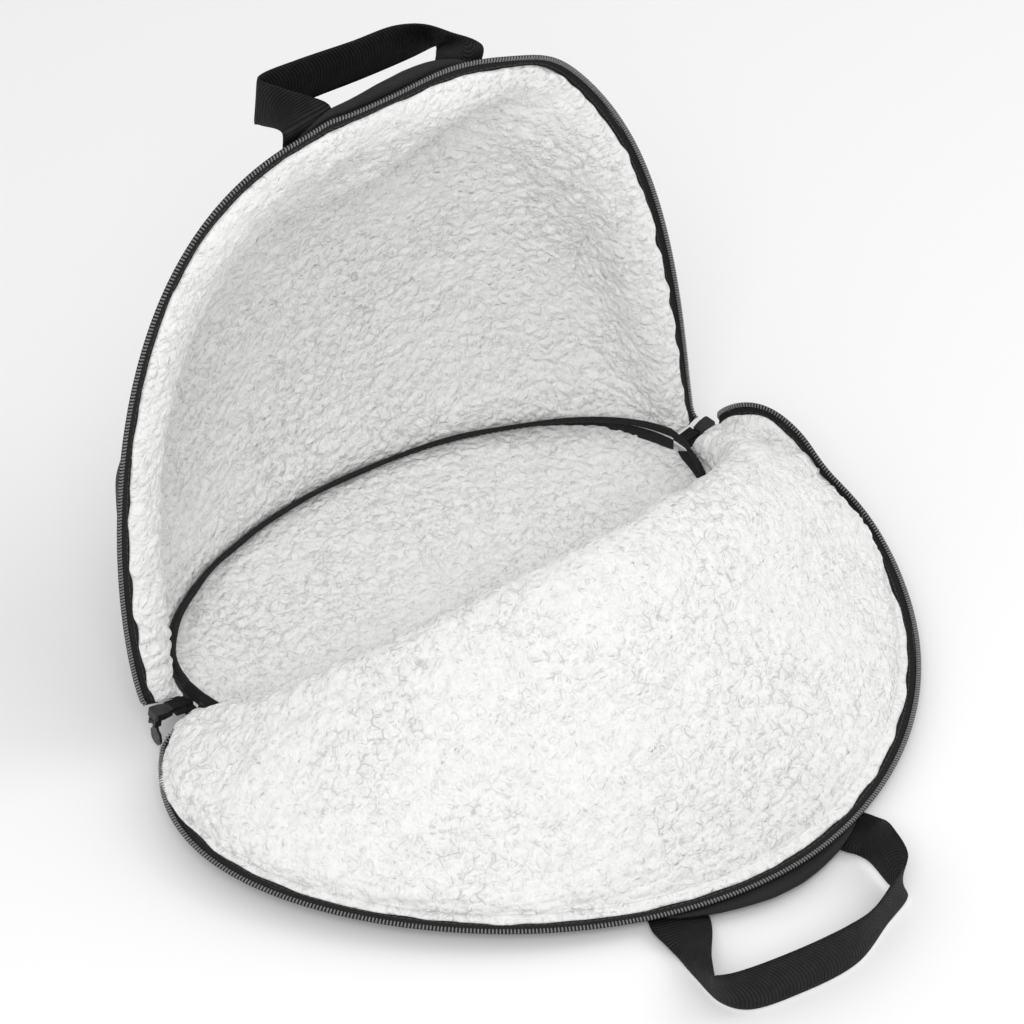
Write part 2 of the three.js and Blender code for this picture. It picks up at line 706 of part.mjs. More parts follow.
// A strap of webbing, sewn on behind the rim at both ends and free between them
function handleGeometry(panel, loop) {
	const { spread, shift } = panel.handle;
	const rimLength = panel.rim.at(-1);
	const middle = outerPlace(panel, 0.5, 0, 0);
	const under = handleSeat + webbingThickness / 2;
	const edges = [- 1, 0, 1];
	const rootStation = (side, below) => edges.map((edge) => outerPlace(
		panel,
		0.5 + (shift + side * spread / 2 + edge * webbingWidth / 2) / rimLength,
		below,
		under
	));
	const loopStation = (row) => {
		const centre = new THREE.Vector3(
			middle.x + shift + row.across * spread / 2,
			middle.y + panel.side * row.out * webbingWidth,
			middle.z + row.up * webbingWidth
		);
		const width = new THREE.Vector3(row.widthX, panel.side * row.widthY, row.widthZ).normalize();
		return edges.map((edge) => centre.clone().addScaledVector(width, edge * webbingWidth / 2));
	};
	const rootDepths = [1, 0.75, 0.5, 0.25, 0].map((share) => share * handleSewnLength);
	rootDepths.push(- handlePastRim);
	const stations = [
		...rootDepths.map((below) => rootStation(- 1, below)),
		...loop.map(loopStation),
		...rootDepths.toReversed().map((below) => rootStation(1, below))
	];
	const paths = edges.map((_, place) => (
		new THREE.CatmullRomCurve3(stations.map((station) => station[place]), false, 'centripetal')
	));
	const steps = loopSteps * (stations.length - 1);
	const grid = Array.from({ length: steps + 1 }, (_, k) => paths.map((path) => path.getPoint(k / steps)));
	const half = webbingThickness / 2;
	return panelLayer(grid, gridNormals(grid, 1), () => - half, () => half);
}

// Materials
const blackCloth = new THREE.MeshStandardMaterial({ color: 0x2b2b2b, roughness: 0.8, metalness: 0 });
const fleece = new THREE.MeshStandardMaterial({ color: 0xefedea, roughness: 1, metalness: 0 });
const bindingTape = new THREE.MeshStandardMaterial({ color: 0x1c1c1c, roughness: 0.85, metalness: 0 });
const zipperTape = new THREE.MeshStandardMaterial({ color: 0x1a1a1a, roughness: 0.85, metalness: 0 });
const zipperCoil = new THREE.MeshStandardMaterial({ color: 0x3a3a3a, roughness: 0.45, metalness: 0 });
const blackMetal = new THREE.MeshStandardMaterial({ color: 0x141414, roughness: 0.35, metalness: 0.6 });
const webbing = new THREE.MeshStandardMaterial({ color: 0x181818, roughness: 0.75, metalness: 0 });

const bag = new THREE.Group();

function add(name, geometry, material, parent = bag) {
	const mesh = new THREE.Mesh(geometry, material.clone());
	mesh.name = name;
	parent.add(mesh);
	return mesh;
}

const baseLiningTop = liningOffset + liningThickness;
add('base_cloth', baseLayer(0, clothThickness, clothThickness), blackCloth);
add('base_lining', baseLayer(liningOffset, baseLiningTop, liningOffset + liningEdgeThickness), fleece);
add('back_panel_cloth', clothGeometry(backPanel), blackCloth);
add('back_panel_lining', liningGeometry(backPanel), fleece);
add('front_panel_cloth', clothGeometry(frontPanel), blackCloth);
add('front_panel_lining', liningGeometry(frontPanel), fleece);
add('seam_binding', bindingGeometry(), bindingTape);
add('zip_tape_back', tapeGeometry(backPanel), zipperTape);
add('zip_tape_front', tapeGeometry(frontPanel), zipperTape);
add('zip_coil_back', coilGeometry(backPanel), zipperCoil);
add('zip_coil_front', coilGeometry(frontPanel), zipperCoil);
add('handle_back', handleGeometry(backPanel, backLoop), webbing);
add('handle_front', handleGeometry(frontPanel, frontLoop), webbing);

// The two ends of the zipper are alike, each turned to point out of its own end of the bag
const ends = [['left', Math.PI], ['right', 0]];
for (const [name, turn] of ends) {
	const end = new THREE.Group();
	end.rotation.z = turn;
	bag.add(end);
	const along = new THREE.Group();
	along.position.copy(seamTip).setY(0);
	along.rotation.y = - Math.asin(endSeamRise / endSeamLength);
	end.add(along);
	add(`zip_end_${name}`, closedZipGeometry(), zipperTape, along);
	const slider = add(`slider_${name}`, sliderGeometry(), blackMetal, along);
	slider.position.set(endSeamLength, 0, liningOffset + tapeThickness / 2);
	const hang = new THREE.Group();
	hang.position.set(pinX, 0, pinZ);
	hang.rotation.y = Math.asin(endSeamRise / endSeamLength);
	slider.add(hang);
	add(`pull_${name}`, pullGeometry(), blackMetal, hang);
}

export default bag;
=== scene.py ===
import math
import bmesh
import bpy
import numpy as np
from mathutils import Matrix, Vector


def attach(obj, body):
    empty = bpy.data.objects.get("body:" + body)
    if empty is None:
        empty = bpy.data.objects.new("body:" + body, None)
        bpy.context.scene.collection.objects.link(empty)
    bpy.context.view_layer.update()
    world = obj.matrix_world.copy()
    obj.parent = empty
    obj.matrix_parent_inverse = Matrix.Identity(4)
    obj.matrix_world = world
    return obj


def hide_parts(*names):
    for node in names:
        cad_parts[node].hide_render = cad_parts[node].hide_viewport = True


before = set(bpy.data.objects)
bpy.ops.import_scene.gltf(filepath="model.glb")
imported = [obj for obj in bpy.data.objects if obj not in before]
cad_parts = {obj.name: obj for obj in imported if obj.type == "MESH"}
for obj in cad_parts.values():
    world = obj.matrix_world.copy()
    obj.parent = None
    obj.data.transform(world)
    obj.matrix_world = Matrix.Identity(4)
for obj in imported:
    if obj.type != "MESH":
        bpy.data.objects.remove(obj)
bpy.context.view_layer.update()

# The looks of a soft black bag with a curly fleece lining, zipped open into two halves.
# Shapes are worked out in millimetres, +Z up, +X along the base, and turned into metres
# when a mesh is made.

rng = np.random.default_rng(7)

# Base
BASE_LENGTH = 374
BASE_WIDTH = 252
BASE_SIDE_RISE = 6
BASE_TIP_RISE = 19
FLAT_SHARE = 0.74
TIP_RISE_POWER = 3

# Panels
PANEL_HEIGHT = 321
BELLY_DEPTH = BASE_WIDTH / 2 + 10
CREST_HEIGHT = 131
CREST_REACH = BASE_WIDTH / 2 + 15
FOLD_REACH = CREST_REACH + 145
END_SEAM_LENGTH = 14
END_SEAM_RISE = 3
END_SWELL_POWER = 6
CORNER_HEIGHT = 38
CORNER_PLACE = 0.095
SHOULDER_HEIGHT = 8
SHOULDER_PLACE = 0.64
SHOULDER_WIDTH = 0.056

# Layers
CLOTH_THICKNESS = 1.5
LINING_THICKNESS = 8
LINING_EDGE = 3
EDGE_TAPER = 22
GAP = 0.3
LAYER_GAP = 0.5
TAPE_SEAT = 1
TAPE_GAP = 1
COIL_GAP = 0.9
END_GAP = 0.6
LINING_OFFSET = CLOTH_THICKNESS + LAYER_GAP
BASE_STACK = CLOTH_THICKNESS + LAYER_GAP + LINING_EDGE + GAP

# Zipper and binding
TAPE_WIDTH = 5
TAPE_THICKNESS = 1
COIL_WIDTH = 2.2
COIL_HEIGHT = 2.2
COIL_PITCH = 1.9
CLOSED_COIL_WIDTH = 5
CLOTH_LIP = 4
TIP_LIP_SHARE = 0.25
TIP_LIP_LENGTH = 100
END_TURN = 20
BINDING_HEIGHT = 8
BINDING_THICKNESS = 2.4
END_HALF = CLOSED_COIL_WIDTH / 2 + CLOTH_LIP + END_GAP

# Handles
WEBBING_WIDTH = 30
WEBBING_THICKNESS = 1.6
BACK_HANDLE = {"spread": 101, "shift": 0}
FRONT_HANDLE = {"spread": 114, "shift": -19}
HANDLE_SEWN_LENGTH = 34
HANDLE_PAST_RIM = 14
HANDLE_SEAT = 1.35
HANDLE_LIP = 19
HANDLE_LIP_SPREAD = 1.15

# Columns as in the CAD: place on the end seam, half length, reach, fold, height,
# roundness, rise of reach and of height, shift and skew
BACK_SECTIONS = [
    (0.15, 1.02, 0.97, 0.00, 0.14, 2.05, 1.00, 1.00, 0.00, 0.00),
    (0.30, 1.04, 1.00, 0.00, 0.34, 2.15, 0.95, 1.00, 0.00, 0.00),
    (0.50, 1.03, 0.91, 0.00, 0.60, 2.30, 0.90, 1.00, 0.00, 0.00),
    (0.65, 1.00, 0.70, 0.00, 0.80, 2.40, 0.80, 1.00, 0.005, -0.01),
    (0.80, 1.00, 0.46, 0.00, 0.915, 2.55, 0.80, 1.05, 0.00, -0.02),
    (0.90, 1.03, 0.34, 0.00, 0.975, 2.75, 0.82, 1.12, -0.01, -0.02),
    (1.00, 1.055, 0.315, 0.00, 1.004, 3.00, 0.86, 1.26, -0.024, -0.010),
]
FRONT_SECTIONS = [
    (0.12, 1.02, 0.94, 0.00, 0.36, 2.00, 1.00, 1.10, 0.00, 0.00),
    (0.24, 1.02, 0.95, 0.00, 0.76, 2.00, 1.00, 1.20, 0.00, 0.00),
    (0.34, 1.02, 1.00, 0.00, 1.00, 2.00, 1.00, 1.25, 0.00, 0.00),
    (0.42, 1.06, 1.00, 0.17, 0.95, 2.00, 1.00, 1.25, 0.00, 0.00),
    (0.58, 1.17, 1.00, 0.44, 0.58, 1.98, 0.98, 1.10, -0.02, 0.03),
    (0.76, 1.25, 1.00, 0.74, 0.20, 1.95, 0.96, 0.85, -0.045, 0.07),
    (0.90, 1.285, 1.00, 0.94, 0.022, 1.92, 0.945, 0.62, -0.065, 0.10),
    (1.00, 1.305, 1.00, 1.00, 0.030, 1.90, 0.935, 0.52, -0.075, 0.118),
]

# Place along and across the panel, half length, half width, turn in degrees, height in mm
BACK_FOLDS = [
    (0.34, 0.80, 190, 22, 0, 7),
    (0.52, 0.86, 60, 26, 50, 11),
    (0.60, 0.84, 80, 30, 55, -12),
]
FRONT_FOLDS = [
    (0.86, 0.62, 110, 22, 80, -7),
    (0.79, 0.62, 120, 22, 82, 5),
    (0.30, 0.70, 90, 40, 20, 4),
]

# Soft gathers that only the looks have
BACK_GATHERS = [
    (0.20, 0.55, 60, 12, 75, -3),
    (0.80, 0.60, 70, 12, 100, -3),
    (0.45, 0.93, 60, 9, 85, 2),
]
FRONT_GATHERS = [
    (0.925, 0.66, 70, 11, 78, -6),
    (0.955, 0.72, 60, 9, 84, 5),
    (0.885, 0.72, 60, 10, 76, 3.5),
    (0.11, 0.60, 60, 12, 100, -3),
    (0.62, 0.55, 110, 26, 30, -2.5),
    (0.45, 0.78, 120, 24, 8, 2),
]

# Across, out, up and the direction of the webbing's width
BACK_LOOP = [
    (-1.15, 0.70, 0.35, 0.24, -0.46, 0.86),
    (-1.17, 1.10, 0.29, 0.00, -0.18, 0.98),
    (-1.03, 1.18, 0.28, -0.14, -0.11, 0.98),
    (-0.52, 1.20, 0.27, -0.28, -0.10, 0.95),
    (0.18, 1.16, 0.25, -0.36, -0.12, 0.92),
    (0.80, 1.17, 0.23, -0.47, -0.13, 0.88),
    (1.12, 1.12, 0.18, -0.52, -0.34, 0.79),
    (1.12, 0.69, 0.27, -0.20, -0.68, 0.69),
]
FRONT_LOOP = [
    (-1.30, 0.78, 0.28, 0.04, 0.79, 0.62),
    (-1.38, 1.20, 0.30, -0.18, 0.62, 0.76),
    (-1.43, 1.66, 0.40, -0.28, 0.10, 0.95),
    (-1.30, 1.94, 0.42, -0.25, -0.14, 0.96),
    (-0.77, 2.23, 0.42, -0.16, -0.16, 0.97),
    (-0.14, 2.38, 0.42, -0.19, -0.10, 0.98),
    (0.30, 2.20, 0.38, -0.50, 0.12, 0.85),
    (0.70, 1.94, 0.40, -0.55, 0.14, 0.82),
    (0.80, 1.72, 0.48, 0.00, 0.26, 0.97),
    (0.92, 1.00, 0.46, 0.22, 0.33, 0.92),
]

# Mesh steps, grids as columns and rows
END_CROWDING = 0.5
CURVE_STEPS = 1201
FINE = 0.95
FLEECE_GRID = (int(400 * FINE), int(236 * FINE))
CLOTH_GRID = (int(300 * FINE), int(110 * FINE))
BASE_FLEECE_GRID = (int(420 * FINE), int(120 * FINE))
BASE_CLOTH_GRID = (int(240 * FINE), int(60 * FINE))
HANDLE_STEPS = int(420 * FINE)
HANDLE_STRANDS = 13


def unit(vectors):
    length = np.linalg.norm(vectors, axis=-1, keepdims=True)
    return vectors / np.maximum(length, 1e-9)


def smoothstep(value):
    value = np.clip(value, 0, 1)
    return value * value * (3 - 2 * value)


def run_lengths(points):
    steps = np.linalg.norm(np.diff(points, axis=0), axis=-1)
    return np.concatenate([[0], np.cumsum(steps)])


# Shapes of the base

def base_curl(share):
    return np.maximum(0, (share - FLAT_SHARE) / (1 - FLAT_SHARE))


def base_point(share, angle):
    rise = BASE_SIDE_RISE + (BASE_TIP_RISE - BASE_SIDE_RISE) * np.abs(np.cos(angle)) ** TIP_RISE_POWER
    return np.stack(np.broadcast_arrays(
        share * BASE_LENGTH / 2 * np.cos(angle),
        share * BASE_WIDTH / 2 * np.sin(angle),
        rise * base_curl(share) ** 2,
    ), axis=-1)


def base_normal(share, angle):
    small = 0.002
    outward = base_point(share, angle) - base_point(share - small, angle)
    around = base_point(share, angle + small) - base_point(share, angle - small)
    return unit(np.cross(outward, around))


# Shapes of the panels

def seam_points(side, along):
    start = math.asin(END_HALF / (BASE_WIDTH / 2))
    angle = math.pi - start - along * (math.pi - 2 * start)
    points = base_point(1, angle) + base_normal(1, angle) * BASE_STACK
    return points * np.array([1, side, 1])


SEAM_TIP = seam_points(1, np.array([1.0]))[0]
ZIP_TIP = np.array([
    SEAM_TIP[0] + math.sqrt(END_SEAM_LENGTH ** 2 - END_SEAM_RISE ** 2),
    0,
    SEAM_TIP[2] + END_SEAM_RISE,
])


def corner_share(lift, end):
    place = lift / CORNER_PLACE
    return place * np.exp(1 - place) * end ** 2


def shoulder_share(along, end):
    return np.exp(-((along - SHOULDER_PLACE) / SHOULDER_WIDTH) ** 2) * end ** 2


def section_points(section, side, along):
    end, length, reach, fold, height, square, reach_rise, height_rise, shift, skew = section
    if side > 0:
        reach, height = reach * BELLY_DEPTH, height * PANEL_HEIGHT
    else:
        reach = reach * CREST_REACH + fold * (FOLD_REACH - CREST_REACH)
        height = height * CREST_HEIGHT
    cosine = -np.cos(np.pi * along)
    lift = np.abs(np.sin(np.pi * along)) ** (2 / square)
    spread = np.abs(cosine) ** (2 / square) * np.sign(cosine)
    swell = 1 - (1 - lift) ** END_SWELL_POWER
    tip_x = SEAM_TIP[0] + (ZIP_TIP[0] - SEAM_TIP[0]) * end
    tip_y = END_HALF + (LINING_OFFSET + LINING_EDGE) * math.sqrt(end)
    tip_z = SEAM_TIP[2] + (ZIP_TIP[2] - SEAM_TIP[2]) * end
    half = length * BASE_LENGTH / 2
    if side < 0:
        raised = CORNER_HEIGHT * np.where(cosine > 0, corner_share(lift, end), 0)
    else:
        raised = SHOULDER_HEIGHT * shoulder_share(along, end)
    return np.stack([
        (shift * swell + skew * lift) * BASE_LENGTH / 2
        + spread * (tip_x + (half - tip_x) * swell),
        side * (tip_y + (reach - tip_y) * lift ** reach_rise),
        tip_z + (height - tip_z) * lift ** height_rise + raised,
    ], axis=-1)


def crowd_ends(shares):
    return shares - END_CROWDING * np.sin(2 * np.pi * shares) / (2 * np.pi)


def even_points(points, shares):
    """Places on a curve, crowded near both ends as in the CAD."""
    lengths = run_lengths(points)
    at = crowd_ends(shares) * lengths[-1]
    return np.stack([np.interp(at, lengths, points[:, k]) for k in range(3)], axis=-1)


def smooth_curve(points, place):
    """Centripetal Catmull-Rom through points[0], points[1], ... at one place from 0 to 1."""
    last = len(points) - 1
    k = min(int(place * last), last - 1)
    weight = place * last - k
    p1, p2 = points[k], points[k + 1]
    p0 = points[k - 1] if k > 0 else 2 * p1 - p2
    p3 = points[k + 2] if k + 2 <= last else 2 * p2 - p1
    d0, d1, d2 = (
        np.maximum(np.linalg.norm(b - a, axis=-1, keepdims=True), 1e-6) ** 0.5
        for a, b in ((p0, p1), (p1, p2), (p2, p3))
    )
    t1 = ((p1 - p0) / d0 - (p2 - p0) / (d0 + d1) + (p2 - p1) / d1) * d1
    t2 = ((p2 - p1) / d1 - (p3 - p1) / (d1 + d2) + (p3 - p2) / d2) * d1
    return (
        p1 + t1 * weight + (3 * (p2 - p1) - 2 * t1 - t2) * weight ** 2
        + (2 * (p1 - p2) + t1 + t2) * weight ** 3
    )


def grid_normals(grid, facing):
    around = np.gradient(grid, axis=0)
    across = np.gradient(grid, axis=1)
    return facing * unit(np.cross(unit(around), unit(across)))


def fold_height(folds, along, across, rim_length, depth):
    height = 0
    for place_along, place_across, long, wide, turn, rise in folds:
        turn = math.radians(turn)
        u = (along - place_along) * rim_length
        v = (across - place_across) * depth
        lengthwise = (u * math.cos(turn) + v * math.sin(turn)) / long
        crosswise = (v * math.cos(turn) - u * math.sin(turn)) / wide
        height = height + rise * np.exp(-lengthwise ** 2 - crosswise ** 2)
    return height


class Panel:
    """Outer surface of one half of the bag as a grid, columns along the rim, rows up from the seam."""

    def __init__(self, side, sections, folds, handle, columns, rows):
        self.side = side
        self.handle = handle
        dense = np.linspace(0, 1, CURVE_STEPS)
        shares = np.linspace(0, 1, columns)
        curves = [even_points(seam_points(side, dense), shares)]
        curves += [even_points(section_points(section, side, dense), shares) for section in sections]
        curves = np.array(curves)
        middle = np.array([smooth_curve(curves[:, columns // 2], place) for place in dense])
        depth = run_lengths(middle)
        crowded = crowd_ends(np.linspace(0, 1, rows))
        places = np.interp(crowded * depth[-1], depth, dense)
        grid = np.stack([smooth_curve(curves, place) for place in places], axis=1)
        self.rim = run_lengths(grid[:, -1])
        self.depth = depth[-1]
        along = (self.rim / self.rim[-1])[:, None]
        across = crowded[None, :]
        fade = np.sqrt(np.maximum(0, np.sin(np.pi * across))) * np.minimum(1, 4 * np.sin(np.pi * along))
        height = fade * fold_height(folds, along, across, self.rim[-1], self.depth)
        normals = grid_normals(grid, side)
        self.grid = grid + normals * height[..., None]
        self.normals = grid_normals(self.grid, side)
        self.out = self.rim_directions()

    def rim_directions(self):
        """Outwards over the rim: in line with the panel at its ends, square to the rim between them."""
        in_line = unit(self.grid[:, -1] - self.grid[:, -3])
        square = unit(np.cross(np.gradient(self.grid[:, -1], axis=0), self.normals[:, -1]))
        square = square * np.sign(np.sum(square * in_line, axis=1, keepdims=True))
        from_end = np.minimum(self.rim, self.rim[-1] - self.rim)
        share = smoothstep(from_end / END_TURN)[:, None]
        return unit(in_line * (1 - share) + square * share)

    def rim_point(self, out, up):
        """Places past the rim, out along the surface and up to the fleece side."""
        return self.grid[:, -1] + self.out * out + self.normals[:, -1] * up

    def lip(self):
        """How far the cloth reaches past the rim, furthest between the roots of the handle."""
        from_middle = np.abs(self.rim - self.rim[-1] / 2 - self.handle["shift"])
        share = np.clip(HANDLE_LIP_SPREAD - from_middle / (self.handle["spread"] / 2), 0, 1)
        from_end = np.minimum(self.rim, self.rim[-1] - self.rim)
        tip = TIP_LIP_SHARE + (1 - TIP_LIP_SHARE) * smoothstep(from_end / TIP_LIP_LENGTH)
        return tip * (CLOTH_LIP + (HANDLE_LIP - CLOTH_LIP) * np.sqrt(share))

    def edge_distance(self):
        """Distance of each grid place from the panel's sewn edges."""
        rows = np.concatenate([
            np.zeros((1, self.grid.shape[1])),
            np.cumsum(np.linalg.norm(np.diff(self.grid, axis=0), axis=-1), axis=0),
        ])
        columns = np.concatenate([
            np.zeros((self.grid.shape[0], 1)),
            np.cumsum(np.linalg.norm(np.diff(self.grid, axis=1), axis=-1), axis=1),
        ], axis=1)
        return np.minimum(
            np.minimum(rows, rows[-1:] - rows),
            np.minimum(columns, columns[:, -1:] - columns),
        )


# Noise for ripples and curls

def waves(points, size, count=12):
    """Smooth noise from 0 to 1 with features of about that size in millimetres."""
    total = 0
    for _ in range(count):
        direction = rng.normal(size=3)
        direction *= 2 * np.pi / size / np.linalg.norm(direction) * rng.uniform(0.5, 1.3)
        total = total + np.sin(points @ direction + rng.uniform(0, 2 * np.pi))
    return np.clip(0.5 + total / count, 0, 1)


def curls(points, size):
    """Rounded lumps with creases between them, 1 on top of a lump and 0 in a crease."""
    shape = points.shape[:-1]
    warp = [waves(points, size * 2.6, 6) for _ in range(3)]
    flat = (points + np.stack(warp, axis=-1) * size * 1.4).reshape(-1, 3) / size
    cell = np.floor(flat).astype(np.int64)
    near = np.full(len(flat), 9.0)
    second = np.full(len(flat), 9.0)
    seeds = rng.random((32, 32, 32, 3))
    for dx in (-1, 0, 1):
        for dy in (-1, 0, 1):
            for dz in (-1, 0, 1):
                other = cell + np.array([dx, dy, dz])
                seed = seeds[other[:, 0] % 32, other[:, 1] % 32, other[:, 2] % 32]
                distance = np.linalg.norm(other + seed - flat, axis=1)
                second = np.minimum(second, np.maximum(near, distance))
                near = np.minimum(near, distance)
    dome = 1 - np.minimum(near, 1) ** 2
    return (0.65 * dome + 0.35 * smoothstep((second - near) / 0.7)).reshape(shape)


# Meshes

def make_mesh(name, points, faces, uvs=None):
    """points in millimetres, uvs one pair for each point, in millimetres as well."""
    mesh = bpy.data.meshes.new(name)
    points = np.asarray(points, dtype=float).reshape(-1, 3) / 1000
    faces = np.asarray(faces)
    sides = faces.shape[1]
    mesh.vertices.add(len(points))
    mesh.vertices.foreach_set("co", points.ravel())
    mesh.loops.add(faces.size)
    mesh.loops.foreach_set("vertex_index", faces.ravel())
    mesh.polygons.add(len(faces))
    mesh.polygons.foreach_set("loop_start", np.arange(0, faces.size, sides))
    mesh.polygons.foreach_set("loop_total", np.full(len(faces), sides))
    if uvs is not None:
        layer = mesh.uv_layers.new(name="UVMap")
        layer.data.foreach_set("uv", np.asarray(uvs, dtype=float).reshape(-1, 2)[faces.ravel()].ravel())
    mesh.update(calc_edges=True)
    mesh.validate()
    mesh.polygons.foreach_set("use_smooth", np.full(len(mesh.polygons), True))
    piece = bpy.data.objects.new(name, mesh)
    bpy.context.scene.collection.objects.link(piece)
    return piece


def grid_faces(columns, rows, start=0, flip=False):
    i, j = np.meshgrid(np.arange(columns - 1), np.arange(rows - 1), indexing="ij")
    a = start + i * rows + j
    quads = np.stack([a, a + rows, a + rows + 1, a + 1], axis=-1).reshape(-1, 4)
    return quads[:, ::-1] if flip else quads


def layer_mesh(name, lower, upper, uvs, flip):
    """Closed piece between two grids of the same size."""
    columns, rows = lower.shape[:2]
    count = columns * rows
    low = np.arange(count).reshape(columns, rows)
    border = np.concatenate([low[:, 0], low[-1, 1:], low[-2::-1, -1], low[0, -2:0:-1]])
    following = np.roll(border, -1)
    wall = np.stack([border, following, following + count, border + count], axis=-1)
    faces = np.concatenate([
        grid_faces(columns, rows, 0, not flip),
        grid_faces(columns, rows, count, flip),
        wall[:, ::-1] if flip else wall,
    ])
    points = np.concatenate([lower.reshape(-1, 3), upper.reshape(-1, 3)])
    return make_mesh(name, points, faces, np.concatenate([uvs.reshape(-1, 2)] * 2))


def ring_mesh(name, rings, uvs, closed):
    """Swept piece through rings of points."""
    count, sides = rings.shape[:2]
    i, k = np.meshgrid(np.arange(count if closed else count - 1), np.arange(sides), indexing="ij")
    here, there = i * sides, (i + 1) % count * sides
    following = (k + 1) % sides
    faces = np.stack([here + k, there + k, there + following, here + following], axis=-1)
    return make_mesh(name, rings, faces.reshape(-1, 4), uvs)


def weld(piece):
    """Joins points that lie in one place."""
    shape = bmesh.new()
    shape.from_mesh(piece.data)
    bmesh.ops.remove_doubles(shape, verts=shape.verts, dist=1e-6)
    shape.to_mesh(piece.data)
    shape.free()


def surface_uvs(grid):
    """Distances along and up the grid in millimetres, for weaves."""
    along = np.cumsum(np.linalg.norm(np.diff(grid, axis=0, prepend=grid[:1]), axis=-1), axis=0)
    up = np.cumsum(np.linalg.norm(np.diff(grid, axis=1, prepend=grid[:, :1]), axis=-1), axis=1)
    return np.stack([along, up], axis=-1)


def place_copies(name, points, faces, centres, right, forward, up):
    """One mesh of many copies of a small shape, each turned to its own axes."""
    frames = np.stack([right, forward, up], axis=1)
    placed = np.einsum("pk,nkc->npc", points, frames) + centres[:, None]
    offsets = np.arange(len(centres))[:, None, None] * len(points)
    return make_mesh(name, placed, (faces[None] + offsets).reshape(-1, faces.shape[1]))


def bead(length, width, height):
    """Small rounded bar along its first axis, made of quads."""
    shares = [(-0.5, 0.45), (-0.36, 0.9), (0, 1), (0.36, 0.9), (0.5, 0.45)]
    angles = np.arange(6) * math.pi / 3
    rings = np.array([
        [(x * length, r * width / 2 * math.cos(a), r * height / 2 * math.sin(a)) for a in angles]
        for x, r in shares
    ])
    faces = []
    for i in range(len(shares) - 1):
        for k in range(6):
            n = (k + 1) % 6
            faces.append((i * 6 + k, i * 6 + n, i * 6 + 6 + n, i * 6 + 6 + k))
    last = (len(shares) - 1) * 6
    faces += [(0, 5, 4, 3), (3, 2, 1, 0), (last, last + 1, last + 2, last + 3)]
    faces.append((last + 3, last + 4, last + 5, last))
    return rings.reshape(-1, 3), np.array(faces)


def along_path(path, normals, pitch, start=0.0):
    """Evenly spaced places on a path, with the direction along it and the normal there."""
    lengths = run_lengths(path)
    at = np.arange(start + pitch / 2, lengths[-1] - start, pitch)
    centre = np.stack([np.interp(at, lengths, path[:, k]) for k in range(3)], axis=-1)
    ahead = np.stack([np.interp(at + 0.4, lengths, path[:, k]) for k in range(3)], axis=-1)
    behind = np.stack([np.interp(at - 0.4, lengths, path[:, k]) for k in range(3)], axis=-1)
    forward = unit(ahead - behind)
    up = np.stack([np.interp(at, lengths, normals[:, k]) for k in range(3)], axis=-1)
    up = unit(up - forward * np.sum(up * forward, axis=1, keepdims=True))
    return centre, forward, up


STITCH_LENGTH = 3.0
STITCH_PITCH = 3.9
STITCH_WIDTH = 0.7


def stitches(name, path, normals, start=2.0):
    centre, forward, up = along_path(path, normals, STITCH_PITCH, start)
    points, faces = bead(STITCH_LENGTH, STITCH_WIDTH, STITCH_WIDTH)
    return place_copies(name, points, faces, centre, forward, np.cross(up, forward), up)


# Materials

def new_material(name, color, roughness, specular=0.3, sheen=0.0, metallic=0.0):
    material = bpy.data.materials.new(name)
    material.use_nodes = True
    shader = material.node_tree.nodes["Principled BSDF"]
    shader.inputs["Base Color"].default_value = (*color, 1)
    shader.inputs["Roughness"].default_value = roughness
    shader.inputs["Specular IOR Level"].default_value = specular
    shader.inputs["Metallic"].default_value = metallic
    shader.inputs["Sheen Weight"].default_value = sheen
    shader.inputs["Sheen Roughness"].default_value = 0.5
    return material, shader


